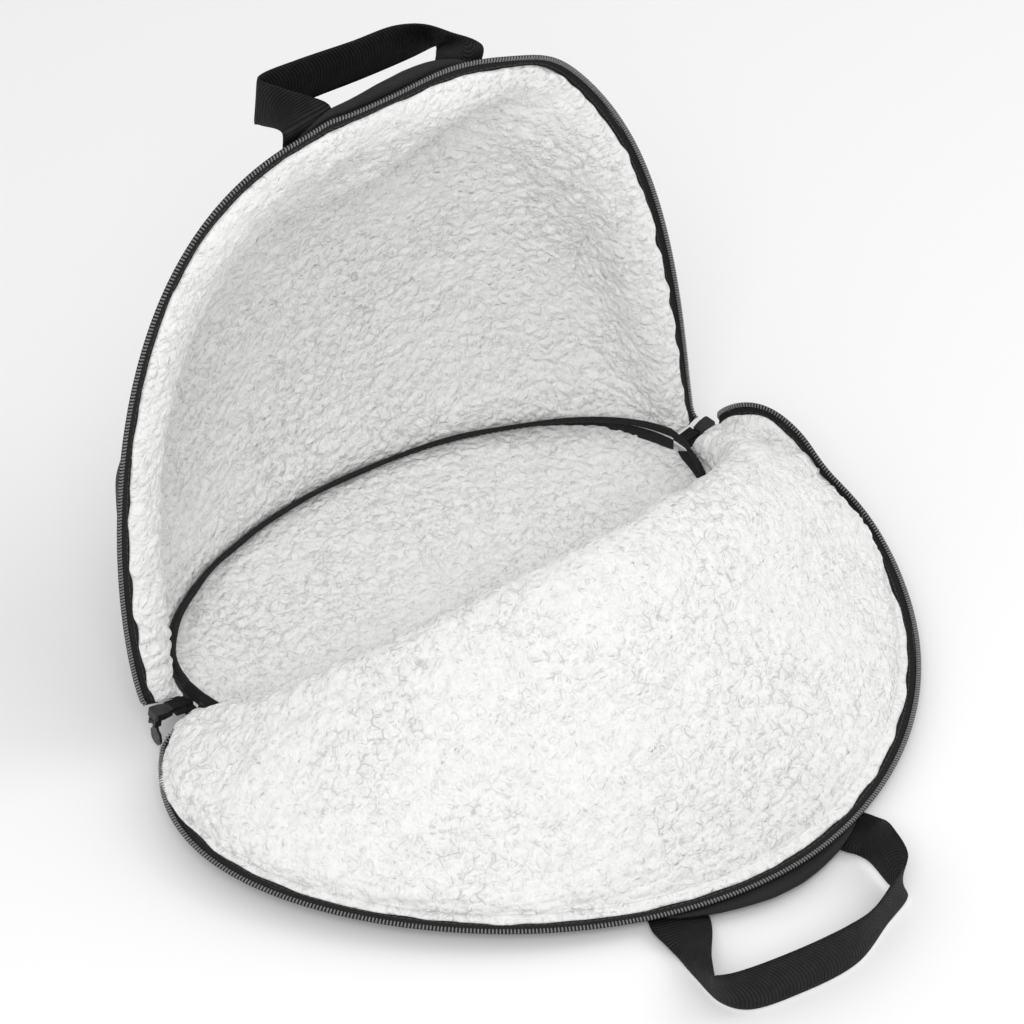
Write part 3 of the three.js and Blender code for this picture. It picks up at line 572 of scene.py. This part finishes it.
class Nodes:
    """Short ways to add and join the nodes of one material."""

    def __init__(self, material):
        self.tree = material.node_tree

    def add(self, kind, **values):
        node = self.tree.nodes.new(kind)
        for name, value in values.items():
            setattr(node, name, value)
        return node

    def link(self, source, target):
        self.tree.links.new(source, target)

    def put(self, node, **inputs):
        for name, value in inputs.items():
            socket = node.inputs[name.replace("_", " ")]
            if isinstance(value, bpy.types.NodeSocket):
                self.link(value, socket)
            else:
                socket.default_value = value
        return node

    def place(self):
        return self.add("ShaderNodeTexCoord").outputs["Object"]

    def surface(self):
        return self.add("ShaderNodeTexCoord").outputs["UV"]

    def noise(self, vector, scale, detail=3.0, roughness=0.5):
        node = self.add("ShaderNodeTexNoise")
        self.put(node, Vector=vector, Scale=scale, Detail=detail, Roughness=roughness)
        return node.outputs["Fac"]

    def cells(self, vector, scale):
        node = self.add("ShaderNodeTexVoronoi", feature="DISTANCE_TO_EDGE")
        self.put(node, Vector=vector, Scale=scale)
        return node.outputs["Distance"]

    def math(self, operation, *values):
        node = self.add("ShaderNodeMath", operation=operation)
        for socket, value in zip(node.inputs, values):
            if isinstance(value, bpy.types.NodeSocket):
                self.link(value, socket)
            else:
                socket.default_value = value
        return node.outputs[0]

    def remap(self, value, low, high, to_low=0.0, to_high=1.0):
        node = self.add("ShaderNodeMapRange", interpolation_type="SMOOTHSTEP")
        self.put(node, Value=value, From_Min=low, From_Max=high, To_Min=to_low, To_Max=to_high)
        return node.outputs[0]

    def mix(self, factor, first, second):
        node = self.add("ShaderNodeMix", data_type="RGBA")
        sockets = (node.inputs[0], node.inputs[6], node.inputs[7])
        for socket, value in zip(sockets, (factor, first, second)):
            if isinstance(value, bpy.types.NodeSocket):
                self.link(value, socket)
            elif isinstance(value, tuple):
                socket.default_value = (*value, 1)
            else:
                socket.default_value = value
        return node.outputs[2]

    def warp(self, vector, scale, amount):
        """The place moved about by noise, amount in its own unit."""
        node = self.add("ShaderNodeTexNoise")
        self.put(node, Vector=vector, Scale=scale, Detail=1.0)
        centred = self.add("ShaderNodeVectorMath", operation="SUBTRACT")
        self.link(node.outputs["Color"], centred.inputs[0])
        centred.inputs[1].default_value = (0.5, 0.5, 0.5)
        scaled = self.add("ShaderNodeVectorMath", operation="SCALE")
        self.link(centred.outputs[0], scaled.inputs[0])
        scaled.inputs["Scale"].default_value = amount
        moved = self.add("ShaderNodeVectorMath", operation="ADD")
        self.link(vector, moved.inputs[0])
        self.link(scaled.outputs[0], moved.inputs[1])
        return moved.outputs[0]

    def bump(self, shader, *layers):
        """layers are (height, distance in metres, strength)."""
        normal = None
        for height, distance, strength in layers:
            node = self.add("ShaderNodeBump")
            node.inputs["Distance"].default_value = distance
            node.inputs["Strength"].default_value = strength
            self.link(height, node.inputs["Height"])
            if normal is not None:
                self.link(normal, node.inputs["Normal"])
            normal = node.outputs["Normal"]
        self.link(normal, shader.inputs["Normal"])

    def thread(self, coordinate, pitch):
        """Rounded ridges across one direction, 0 in a groove and 1 on a ridge."""
        phase = self.math("MULTIPLY", coordinate, math.pi / pitch)
        return self.math("ABSOLUTE", self.math("SINE", phase))

    def uv(self):
        split = self.add("ShaderNodeSeparateXYZ")
        self.link(self.surface(), split.inputs[0])
        return split.outputs[0], split.outputs[1]


def fleece_material():
    tint = (0.87, 0.865, 0.855)
    material, shader = new_material("fleece_looks", tint, 1.0, specular=0.05, sheen=0.2)
    nodes = Nodes(material)
    place = nodes.place()
    bent = nodes.warp(nodes.warp(place, 60.0, 0.006), 260.0, 0.0018)
    big = nodes.cells(bent, 140.0)
    small = nodes.cells(bent, 290.0)
    fuzz = nodes.noise(place, 900.0, 3.0, 0.7)
    patch = nodes.remap(nodes.noise(place, 16.0, 2.0), 0.35, 0.62)
    broken = nodes.remap(nodes.noise(place, 190.0, 2.0), 0.42, 0.62)
    shown = nodes.math("MULTIPLY", broken, nodes.remap(patch, 0.0, 1.0, 0.25, 0.9))
    # Painted shade: the base colour turns grey in the gaps between the curls, where shade falls, shown in
    # broken patches.
    curl_gap_shade = nodes.math("MULTIPLY", nodes.remap(big, 0.11, 0.0), shown)
    small_curl_gap_shade = nodes.math("MULTIPLY", nodes.remap(small, 0.12, 0.0, 0.0, 0.4), shown)
    painted_gap_shade = nodes.math("MAXIMUM", curl_gap_shade, small_curl_gap_shade)
    mottle = nodes.remap(nodes.noise(place, 70.0, 3.0), 0.3, 0.75)
    shade = nodes.mix(nodes.math("MULTIPLY", mottle, 0.3), (0.885, 0.883, 0.877), (0.80, 0.797, 0.79))
    shade = nodes.mix(painted_gap_shade, shade, (0.55, 0.545, 0.535))
    nodes.link(shade, shader.inputs["Base Color"])
    nodes.bump(
        shader,
        (nodes.remap(big, 0.0, 0.6), 0.0022, 0.6),
        (nodes.remap(small, 0.0, 0.6), 0.0010, 0.6),
        (fuzz, 0.0006, 0.5),
    )
    return material


def cloth_material():
    tint = (0.018, 0.018, 0.019)
    material, shader = new_material("black_cloth_looks", tint, 0.6, specular=0.22, sheen=0.02)
    nodes = Nodes(material)
    place = nodes.place()
    u, v = nodes.uv()
    weave = nodes.math("MULTIPLY", nodes.thread(u, 0.55), nodes.thread(v, 0.55))
    tone = nodes.noise(place, 25.0, 4.0)
    shade = nodes.mix(nodes.remap(tone, 0.3, 0.7), (0.012, 0.012, 0.0125), (0.019, 0.019, 0.020))
    shade = nodes.mix(nodes.math("MULTIPLY", weave, 0.5), shade, (0.027, 0.027, 0.028))
    nodes.link(shade, shader.inputs["Base Color"])
    creases = nodes.noise(nodes.warp(place, 20.0, 0.02), 42.0, 5.0, 0.62)
    nodes.bump(shader, (creases, 0.004, 0.35), (weave, 0.0003, 0.5))
    return material


def tape_material():
    material, shader = new_material("zipper_tape_looks", (0.012, 0.012, 0.012), 0.75, specular=0.25)
    nodes = Nodes(material)
    u, v = nodes.uv()
    slanted = nodes.math("ADD", u, nodes.math("MULTIPLY", v, 0.7))
    twill = nodes.thread(slanted, 0.9)
    rows = nodes.thread(v, 0.7)
    both = nodes.math("MULTIPLY", twill, nodes.remap(rows, 0.0, 1.0, 0.6, 1.0))
    shade = nodes.mix(both, (0.006, 0.006, 0.006), (0.020, 0.020, 0.0205))
    nodes.link(shade, shader.inputs["Base Color"])
    nodes.bump(shader, (both, 0.0004, 0.7))
    return material


def binding_material():
    material, shader = new_material("binding_looks", (0.014, 0.014, 0.014), 0.8, specular=0.25)
    nodes = Nodes(material)
    u, v = nodes.uv()
    ribs = nodes.thread(u, 1.5)
    threads = nodes.thread(v, 0.8)
    both = nodes.math("MULTIPLY", ribs, nodes.remap(threads, 0.0, 1.0, 0.7, 1.0))
    shade = nodes.mix(both, (0.005, 0.005, 0.005), (0.026, 0.026, 0.026))
    nodes.link(shade, shader.inputs["Base Color"])
    nodes.bump(shader, (both, 0.0007, 0.8))
    return material


def webbing_material():
    material, shader = new_material("webbing_looks", (0.014, 0.014, 0.014), 0.7, specular=0.18, sheen=0.0)
    nodes = Nodes(material)
    place = nodes.place()
    u, v = nodes.uv()
    drift = nodes.math("MULTIPLY", nodes.noise(place, 30.0, 2.0), 0.5)
    ribs = nodes.thread(nodes.math("ADD", u, drift), 2.1)
    threads = nodes.thread(v, 0.75)
    wear = nodes.remap(nodes.noise(place, 160.0, 3.0), 0.3, 0.75)
    both = nodes.math("MULTIPLY", ribs, nodes.remap(threads, 0.0, 1.0, 0.55, 1.0))
    worn = nodes.math("MULTIPLY", both, nodes.remap(wear, 0.0, 1.0, 0.6, 1.0))
    shade = nodes.mix(worn, (0.003, 0.003, 0.003), (0.024, 0.024, 0.025))
    nodes.link(shade, shader.inputs["Base Color"])
    nodes.bump(shader, (ribs, 0.0009, 0.8), (threads, 0.0003, 0.5))
    return material


def coil_material():
    material, shader = new_material("zipper_coil_looks", (0.055, 0.055, 0.056), 0.32, specular=0.7)
    nodes = Nodes(material)
    wear = nodes.noise(nodes.place(), 500.0, 2.0)
    nodes.link(nodes.remap(wear, 0.3, 0.8, 0.25, 0.45), shader.inputs["Roughness"])
    # Painted highlight: the teeth get a grey far lighter than the black tape, standing in for their
    # glints; the noise varies tone and roughness at random.
    nodes.link(nodes.mix(wear, (0.11, 0.11, 0.11), (0.22, 0.22, 0.222)), shader.inputs["Base Color"])
    return material


def metal_material():
    tint = (0.011, 0.011, 0.012)
    material, shader = new_material("black_metal_looks", tint, 0.34, specular=0.5, metallic=0.2)
    nodes = Nodes(material)
    place = nodes.place()
    wear = nodes.noise(place, 350.0, 4.0)
    nodes.link(nodes.remap(wear, 0.3, 0.8, 0.26, 0.5), shader.inputs["Roughness"])
    nodes.link(nodes.mix(wear, (0.008, 0.008, 0.008), (0.018, 0.018, 0.019)), shader.inputs["Base Color"])
    nodes.bump(shader, (nodes.noise(place, 900.0, 2.0), 0.0001, 0.3))
    return material


def stitch_material():
    material, shader = new_material("thread_looks", (0.03, 0.03, 0.03), 0.6, specular=0.4)
    nodes = Nodes(material)
    twist = nodes.noise(nodes.place(), 1800.0, 2.0)
    nodes.link(nodes.mix(twist, (0.02, 0.02, 0.02), (0.06, 0.06, 0.06)), shader.inputs["Base Color"])
    return material


FLEECE = fleece_material()
CLOTH = cloth_material()
TAPE = tape_material()
BINDING = binding_material()
WEBBING = webbing_material()
COIL = coil_material()
METAL = metal_material()
THREAD = stitch_material()


def dress(piece, material, slot_name, *nodes):
    """Gives a piece its material, hides the solids that it stands for and sets it riding on the bag;
    slot_name is not used.
    """
    piece.data.materials.clear()
    piece.data.materials.append(material)
    if nodes:
        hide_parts(*nodes)
    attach(piece, "bag")
    return piece


# Fleece: a pillowed, curly surface that rolls down to the cloth at its sewn edges

EDGE_ROLL = 7.0
EDGE_PILE = 1.5
EDGE_FLUFF = 0.45
CURL_SIZE = 9.0
CURL_HEIGHT = 3.2
SMALL_CURL_SIZE = 5.2
SMALL_CURL_HEIGHT = 1.1
CURL_MEAN = 0.6
SWELL_SIZE = 40
SWELL_HEIGHT = 1.6
EDGE_OVERHANG = 2.6
OVERHANG_WAVE_SIZE = 16
BULGE_POWER = 0.6

# More overhang near one end of the folded half, place and width as shares of its rim
LEFT_OVERHANG = 7.5
LEFT_OVERHANG_PLACE = 0.08
LEFT_OVERHANG_WIDTH = 0.05


def fleece_heights(points, near):
    taper = smoothstep(near / EDGE_TAPER)
    body = LINING_EDGE + EDGE_PILE + (LINING_THICKNESS - LINING_EDGE - EDGE_PILE) * taper
    roll = np.sqrt(1 - (1 - np.clip(near / EDGE_ROLL, 0, 1)) ** 2)
    fluff = (curls(points, CURL_SIZE) - CURL_MEAN) * CURL_HEIGHT
    fluff = fluff + (curls(points, SMALL_CURL_SIZE) - CURL_MEAN) * SMALL_CURL_HEIGHT
    fluff = fluff + (waves(points, SWELL_SIZE) - 0.5) * SWELL_HEIGHT
    return LINING_OFFSET + roll * (body + fluff * (EDGE_FLUFF + (1 - EDGE_FLUFF) * taper))


def add_panel_fleece(name, panel, node):
    near = panel.edge_distance()
    height = fleece_heights(panel.grid, near)
    points = panel.grid + panel.normals * height[..., None]
    reach = EDGE_OVERHANG * (0.4 + 1.2 * waves(panel.grid, OVERHANG_WAVE_SIZE))
    if panel.side < 0:
        along = np.linspace(0, 1, panel.grid.shape[0])
        bump = np.exp(-((along - LEFT_OVERHANG_PLACE) / LEFT_OVERHANG_WIDTH) ** 2)
        reach = reach + LEFT_OVERHANG * bump[:, None]
    lengths = run_lengths(panel.grid[panel.grid.shape[0] // 2])
    from_rim = np.clip((lengths[-1] - lengths) / EDGE_ROLL, 0, 1)
    push = np.sin(np.pi * from_rim ** BULGE_POWER)[None, :] * reach
    points = points + panel.out[:, None] * push[..., None]
    columns, rows = points.shape[:2]
    faces = grid_faces(columns, rows, 0, panel.side < 0)
    piece = make_mesh(name, points, faces, surface_uvs(panel.grid))
    dress(piece, FLEECE, "fleece", node)
    return piece


def add_base_fleece():
    around, rings = BASE_FLEECE_GRID
    angle = np.linspace(0, 2 * math.pi, around + 1)[:, None]
    share = (np.linspace(0.0, 1, rings) ** 0.75)[None, :]
    point = base_point(share, angle)
    curl = smoothstep(base_curl(share) * 4)[..., None]
    curled = base_normal(np.maximum(share, 0.5), angle)
    normal = unit(np.array([0.0, 0.0, 1.0]) * (1 - curl) + curled * curl)
    near = (1 - share) * np.linalg.norm(point[:, -1:], axis=-1)
    height = fleece_heights(point, near)
    points = point + normal * height[..., None]
    piece = make_mesh("base_fleece", points, grid_faces(around + 1, rings), point[..., :2])
    weld(piece)
    dress(piece, FLEECE, "fleece", "base_lining")
    return piece


# Cloth

SEAM_TUCK = 6.5
LIP_STEPS = (0.35, 0.7, 1.0)
RIPPLES = ((70, 1.6), (26, 0.8))
RIPPLE_FADE = 30


def add_panel_cloth(name, panel, node):
    lip = panel.lip()
    extra = [panel.grid[:, -1] + panel.out * (lip * share)[:, None] for share in LIP_STEPS]
    tucked = panel.grid[:, :1] + unit(panel.grid[:, :1] - panel.grid[:, 1:2]) * SEAM_TUCK
    grid = np.concatenate([tucked, panel.grid, np.stack(extra, axis=1)], axis=1)
    first = panel.normals[:, :1]
    last = np.repeat(panel.normals[:, -1:], len(LIP_STEPS), axis=1)
    normals = np.concatenate([first, panel.normals, last], axis=1)
    near = np.pad(panel.edge_distance(), ((0, 0), (1, len(LIP_STEPS))))
    ripple = sum((waves(grid, size) - 0.5) * height for size, height in RIPPLES)
    outer = ripple * smoothstep(near / RIPPLE_FADE)
    lower = grid + normals * outer[..., None]
    upper = grid + normals * CLOTH_THICKNESS
    piece = layer_mesh(name, lower, upper, surface_uvs(grid), panel.side < 0)
    return dress(piece, CLOTH, "black_cloth", node)


def add_base_cloth():
    around, rings = BASE_CLOTH_GRID
    angle = np.arange(around) * 2 * math.pi / around
    share = np.linspace(0.01, 1, rings)
    point = base_point(share[None, :], angle[:, None])
    normal = base_normal(share[None, :], angle[:, None])
    normal[:, share <= FLAT_SHARE] = (0, 0, 1)
    upper = (point + normal * CLOTH_THICKNESS)[:, ::-1]
    rings_of_points = np.concatenate([point, upper], axis=1)
    uvs = rings_of_points[..., :2]
    piece = ring_mesh("base_shell", rings_of_points, uvs, True)
    return dress(piece, CLOTH, "black_cloth", "base_cloth")


# Zipper

TAPE_TUCK = 0.5
TAPE_STRANDS = 6
TOOTH_OVERHANG = 0.7
TOOTH_SHARE = 0.62

# Section of the cord under the teeth, out and up from their middle
CORE_SECTION = [(-1.95, -0.9), (1.0, -0.9), (1.2, -0.2), (0.6, 0.3), (-0.6, 0.3), (-1.95, -0.2)]


def add_tape(name, panel, node):
    low = CLOTH_THICKNESS + TAPE_SEAT
    outs = np.linspace(TAPE_GAP - TAPE_TUCK, TAPE_GAP + TAPE_WIDTH, TAPE_STRANDS)
    lower = np.stack([panel.rim_point(out, low) for out in outs], axis=1)
    upper = np.stack([panel.rim_point(out, low + TAPE_THICKNESS) for out in outs], axis=1)
    piece = layer_mesh(name, lower, upper, surface_uvs(lower), panel.side < 0)
    dress(piece, TAPE, "zipper_tape", node)
    seam = stitches(name + "_stitches", upper[:, 2], panel.normals[:, -1])
    return dress(seam, THREAD, "zipper_tape")


def add_coil(name, panel, node):
    out = TAPE_GAP + TAPE_WIDTH + COIL_GAP + COIL_WIDTH / 2
    up = CLOTH_THICKNESS + TAPE_SEAT + COIL_HEIGHT / 2
    path = panel.rim_point(out, up)
    centre, forward, lift = along_path(path, panel.normals[:, -1], COIL_PITCH)
    points, faces = bead(COIL_WIDTH + TOOTH_OVERHANG, COIL_PITCH * TOOTH_SHARE, COIL_HEIGHT)
    across = np.cross(forward, lift)
    teeth = place_copies(name, points, faces, centre, across, forward, lift)
    dress(teeth, COIL, "zipper_coil", node)
    rings = np.stack([panel.rim_point(out + dx, up + dz) for dx, dz in CORE_SECTION], axis=1)
    cord = ring_mesh(name + "_core", rings, surface_uvs(rings), False)
    return dress(cord, TAPE, "zipper_tape")


# Binding over the inner seam

BINDING_SWAY = 2.4
BINDING_SWAY_SIZE = 45
BINDING_SWELL = 0.25
BINDING_SWELL_SIZE = 60
BINDING_STITCH_STAND = 0.1


def add_binding(panels):
    half = BINDING_THICKNESS / 2
    side = [
        (half * 0.8, 0.8), (half, 2.5), (half * 0.95, 5),
        (half * 1.15, BINDING_HEIGHT - 1.6), (half * 0.8, BINDING_HEIGHT - 0.3),
    ]
    other_side = [(-out, up) for out, up in reversed(side)]
    section = [(0, GAP), *side, (0, BINDING_HEIGHT), *other_side]
    corners, stands, wides = [], [], []
    for panel, order in zip(panels, (1, -1)):
        edge = panel.grid[:, 0]
        normal = panel.normals[:, 0]
        angle = np.arctan2(edge[:, 1] / BASE_WIDTH, edge[:, 0] / BASE_LENGTH)
        stand = unit(normal + base_normal(1, angle))
        along = np.stack([
            -edge[:, 1] / BASE_WIDTH ** 2,
            edge[:, 0] / BASE_LENGTH ** 2,
            0 * edge[:, 0],
        ], axis=-1)
        wide = unit(np.cross(unit(along), stand))
        corners.append((edge + normal * (LINING_OFFSET + LINING_EDGE))[::order])
        stands.append(stand[::order])
        wides.append(wide[::order])
    corner, stand, wide = (np.concatenate(parts) for parts in (corners, stands, wides))
    sway = (waves(corner, BINDING_SWAY_SIZE) - 0.5) * BINDING_SWAY
    rise = 1 + (waves(corner, BINDING_SWELL_SIZE) - 0.5) * BINDING_SWELL
    rings = np.stack([
        corner + wide * (out + sway * up / BINDING_HEIGHT)[:, None] + stand * (up * rise)[:, None]
        for out, up in section
    ], axis=1)
    piece = ring_mesh("binding_tape", rings, surface_uvs(rings), True)
    dress(piece, BINDING, "binding_tape", "seam_binding")
    for name, place, facing in (("binding_stitches_out", 2, 1), ("binding_stitches_in", 10, -1)):
        path = rings[:, place] + wide * BINDING_STITCH_STAND * facing
        dress(stitches(name, path, wide * facing), THREAD, "binding_tape")


# Handles

SEWN_SHARES = (1, 0.75, 0.5, 0.25, 0)
WEBBING_EDGE_THINNING = 0.45
BOX_CORNERS = [(-0.8, 0.1), (0.8, 0.1), (0.8, 0.92), (-0.8, 0.92)]
BOX_ORDER = [0, 1, 2, 3, 0, 2, 3, 1]
BOX_STEPS = 12
BOX_STITCH_STAND = 0.15


def outer_place(panel, along, below, out):
    """A place under the outer surface, found by its share of the rim and distance below the rim."""
    place = np.interp(along * panel.rim[-1], panel.rim, np.arange(len(panel.rim)))
    i = int(place)
    share = place - i
    column = panel.grid[i] * (1 - share) + panel.grid[min(i + 1, len(panel.rim) - 1)] * share
    normals = panel.normals[i]
    if below < 0:
        return column[-1] + panel.out[i] * -below - normals[-1] * out
    lengths = run_lengths(column[::-1])
    point = np.array([np.interp(below, lengths, column[::-1, k]) for k in range(3)])
    normal = unit(np.array([np.interp(below, lengths, normals[::-1, k]) for k in range(3)]))
    return point - normal * out


def add_handle(name, panel, loop, node):
    spread, shift = panel.handle["spread"], panel.handle["shift"]
    middle = outer_place(panel, 0.5, 0, 0)
    under = HANDLE_SEAT + WEBBING_THICKNESS / 2
    edges = (-1, 0, 1)

    def root(side, below):
        return [outer_place(
            panel,
            0.5 + (shift + side * spread / 2 + edge * WEBBING_WIDTH / 2) / panel.rim[-1],
            below,
            under,
        ) for edge in edges]

    def free(row):
        across, out, up, width_x, width_y, width_z = row
        centre = middle + np.array([
            shift + across * spread / 2,
            panel.side * out * WEBBING_WIDTH,
            up * WEBBING_WIDTH,
        ])
        width = unit(np.array([width_x, panel.side * width_y, width_z]))
        return [centre + width * edge * WEBBING_WIDTH / 2 for edge in edges]

    depths = [share * HANDLE_SEWN_LENGTH for share in SEWN_SHARES] + [-HANDLE_PAST_RIM]
    stations = [root(-1, below) for below in depths]
    stations += [free(row) for row in loop]
    stations += [root(1, below) for below in reversed(depths)]
    stations = np.array(stations)
    path = np.array([smooth_curve(stations, place) for place in np.linspace(0, 1, HANDLE_STEPS)])
    cross = np.linspace(-1, 1, HANDLE_STRANDS)
    left, centre, right = path[:, 0], path[:, 1], path[:, 2]
    bow = (left + right) / 2 - centre
    grid = np.stack([
        centre + (right - left) / 2 * t + bow * t * t for t in cross
    ], axis=1)
    normals = grid_normals(grid, 1)
    half = WEBBING_THICKNESS / 2 * (1 - WEBBING_EDGE_THINNING * np.abs(cross) ** 10)
    lower = grid - normals * half[None, :, None]
    upper = grid + normals * half[None, :, None]
    piece = layer_mesh(name, lower, upper, surface_uvs(grid), True)
    dress(piece, WEBBING, "webbing", node)
    add_box_stitches(name, stations, panel)


def add_box_stitches(name, stations, panel):
    """A stitched box with a cross on each sewn end, on the outer side."""
    sewn = len(SEWN_SHARES)
    for end, rows in (("left", stations[:sewn]), ("right", stations[:-sewn - 1:-1])):
        rows = rows[::-1]
        normals = grid_normals(rows, 1)
        outward = -panel.normals[len(panel.rim) // 2, -1]
        if np.sum(normals[2, 1] * outward) < 0:
            normals = -normals
        outer = rows + normals * (WEBBING_THICKNESS / 2 + BOX_STITCH_STAND)

        def at(across, down):
            row = down * (len(outer) - 1)
            k = min(int(row), len(outer) - 2)
            line = outer[k] * (1 - row + k) + outer[k + 1] * (row - k)
            return np.array([np.interp(across, (-1, 0, 1), line[:, c]) for c in range(3)])

        track = []
        for first, second in zip(BOX_ORDER, BOX_ORDER[1:]):
            a, b = np.array(BOX_CORNERS[first]), np.array(BOX_CORNERS[second])
            for t in np.linspace(0, 1, BOX_STEPS, endpoint=False):
                track.append(at(*(a * (1 - t) + b * t)))
        track = np.array(track)
        facing = np.repeat(normals[2, 1][None], len(track), axis=0)
        dress(stitches(f"{name}_stitches_{end}", track, facing, 0.0), THREAD, "webbing")


# Building

RIM_STITCH_ROW = -4
RIM_STITCH_STAND = 0.25

halves = {
    "back": (1, BACK_SECTIONS, BACK_FOLDS + BACK_GATHERS, BACK_HANDLE),
    "front": (-1, FRONT_SECTIONS, FRONT_FOLDS + FRONT_GATHERS, FRONT_HANDLE),
}
fine_panels = {}
for half, shape in halves.items():
    fleece_panel = Panel(*shape, *FLEECE_GRID)
    cloth_panel = Panel(*shape, *CLOTH_GRID)
    fine_panels[half] = cloth_panel
    add_panel_fleece(f"{half}_fleece", fleece_panel, f"{half}_panel_lining")
    add_panel_cloth(f"{half}_shell", cloth_panel, f"{half}_panel_cloth")
    add_tape(f"{half}_tape", cloth_panel, f"zip_tape_{half}")
    add_coil(f"{half}_teeth", cloth_panel, f"zip_coil_{half}")
    outwards = -cloth_panel.normals[:, RIM_STITCH_ROW]
    edge = cloth_panel.grid[:, RIM_STITCH_ROW] + outwards * RIM_STITCH_STAND
    dress(stitches(f"{half}_rim_stitches", edge, outwards), THREAD, "black_cloth")
add_base_fleece()
add_base_cloth()
add_binding([fine_panels["back"], fine_panels["front"]])
add_handle("back_handle", fine_panels["back"], BACK_LOOP, "handle_back")
add_handle("front_handle", fine_panels["front"], FRONT_LOOP, "handle_front")

# Small hard parts keep their own solids, with softened edges, width in metres
SOFT_EDGE = 0.0004
SOFT_EDGE_ANGLE = math.radians(35)
hard_parts = [f"{kind}_{end}" for kind in ("slider", "pull", "zip_end") for end in ("left", "right")]
for name in hard_parts:
    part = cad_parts[name]
    part.data.materials.clear()
    part.data.materials.append(TAPE if name.startswith("zip") else METAL)
    bevel = part.modifiers.new("soft_edges", "BEVEL")
    bevel.width = SOFT_EDGE
    bevel.segments = 3
    bevel.limit_method = "ANGLE"
    bevel.angle_limit = SOFT_EDGE_ANGLE

# Floor, light and camera, in metres and watts

FLOOR_SIZE = 12
WORLD_STRENGTH = 0.68

# Name, place, aim, size and power
LIGHTS = [
    ("key", (-1.4, -1.6, 2.2), (0, -0.05, 0.1), 1.6, 34),
    ("fill", (1.8, -0.8, 1.6), (0, 0, 0.1), 1.8, 11),
]

# Angles in radians, lens and sensor in millimetres
CAMERA_TURN = 0.688457
CAMERA_TILT = 0.686970
CAMERA_DISTANCE = 1.70
CAMERA_LENS = 104.8
CAMERA_SENSOR = 36
CAMERA_TARGET = (0.0189, -0.0359, 0.08)


def add_floor():
    bpy.ops.mesh.primitive_plane_add(size=FLOOR_SIZE)
    floor = bpy.context.object
    floor.name = "floor"
    material, shader = new_material("floor_looks", (0.96, 0.96, 0.96), 0.9, specular=0.1)
    floor.data.materials.append(material)


def add_area_light(name, position, target, size, power):
    light = bpy.data.lights.new(name, "AREA")
    light.shape = "DISK"
    light.size = size
    light.energy = power
    lamp = bpy.data.objects.new(name, light)
    lamp.location = position
    direction = Vector(target) - Vector(position)
    lamp.rotation_euler = direction.to_track_quat("-Z", "Y").to_euler()
    bpy.context.scene.collection.objects.link(lamp)


def add_world(strength):
    world = bpy.data.worlds.new("studio")
    world.use_nodes = True
    background = world.node_tree.nodes["Background"]
    background.inputs["Color"].default_value = (1, 1, 1, 1)
    background.inputs["Strength"].default_value = strength
    bpy.context.scene.world = world


def add_camera():
    forward = Vector((
        math.sin(CAMERA_TURN) * math.cos(CAMERA_TILT),
        math.cos(CAMERA_TURN) * math.cos(CAMERA_TILT),
        -math.sin(CAMERA_TILT),
    ))
    data = bpy.data.cameras.new("camera")
    data.lens = CAMERA_LENS
    data.sensor_width = CAMERA_SENSOR
    camera = bpy.data.objects.new("camera", data)
    camera.location = Vector(CAMERA_TARGET) - forward * CAMERA_DISTANCE
    camera.rotation_mode = "QUATERNION"
    camera.rotation_quaternion = forward.to_track_quat("-Z", "Y")
    bpy.context.scene.collection.objects.link(camera)
    bpy.context.scene.camera = camera


add_floor()
add_world(WORLD_STRENGTH)
for light in LIGHTS:
    add_area_light(*light)
add_camera()
bpy.context.scene.view_settings.view_transform = "Standard"
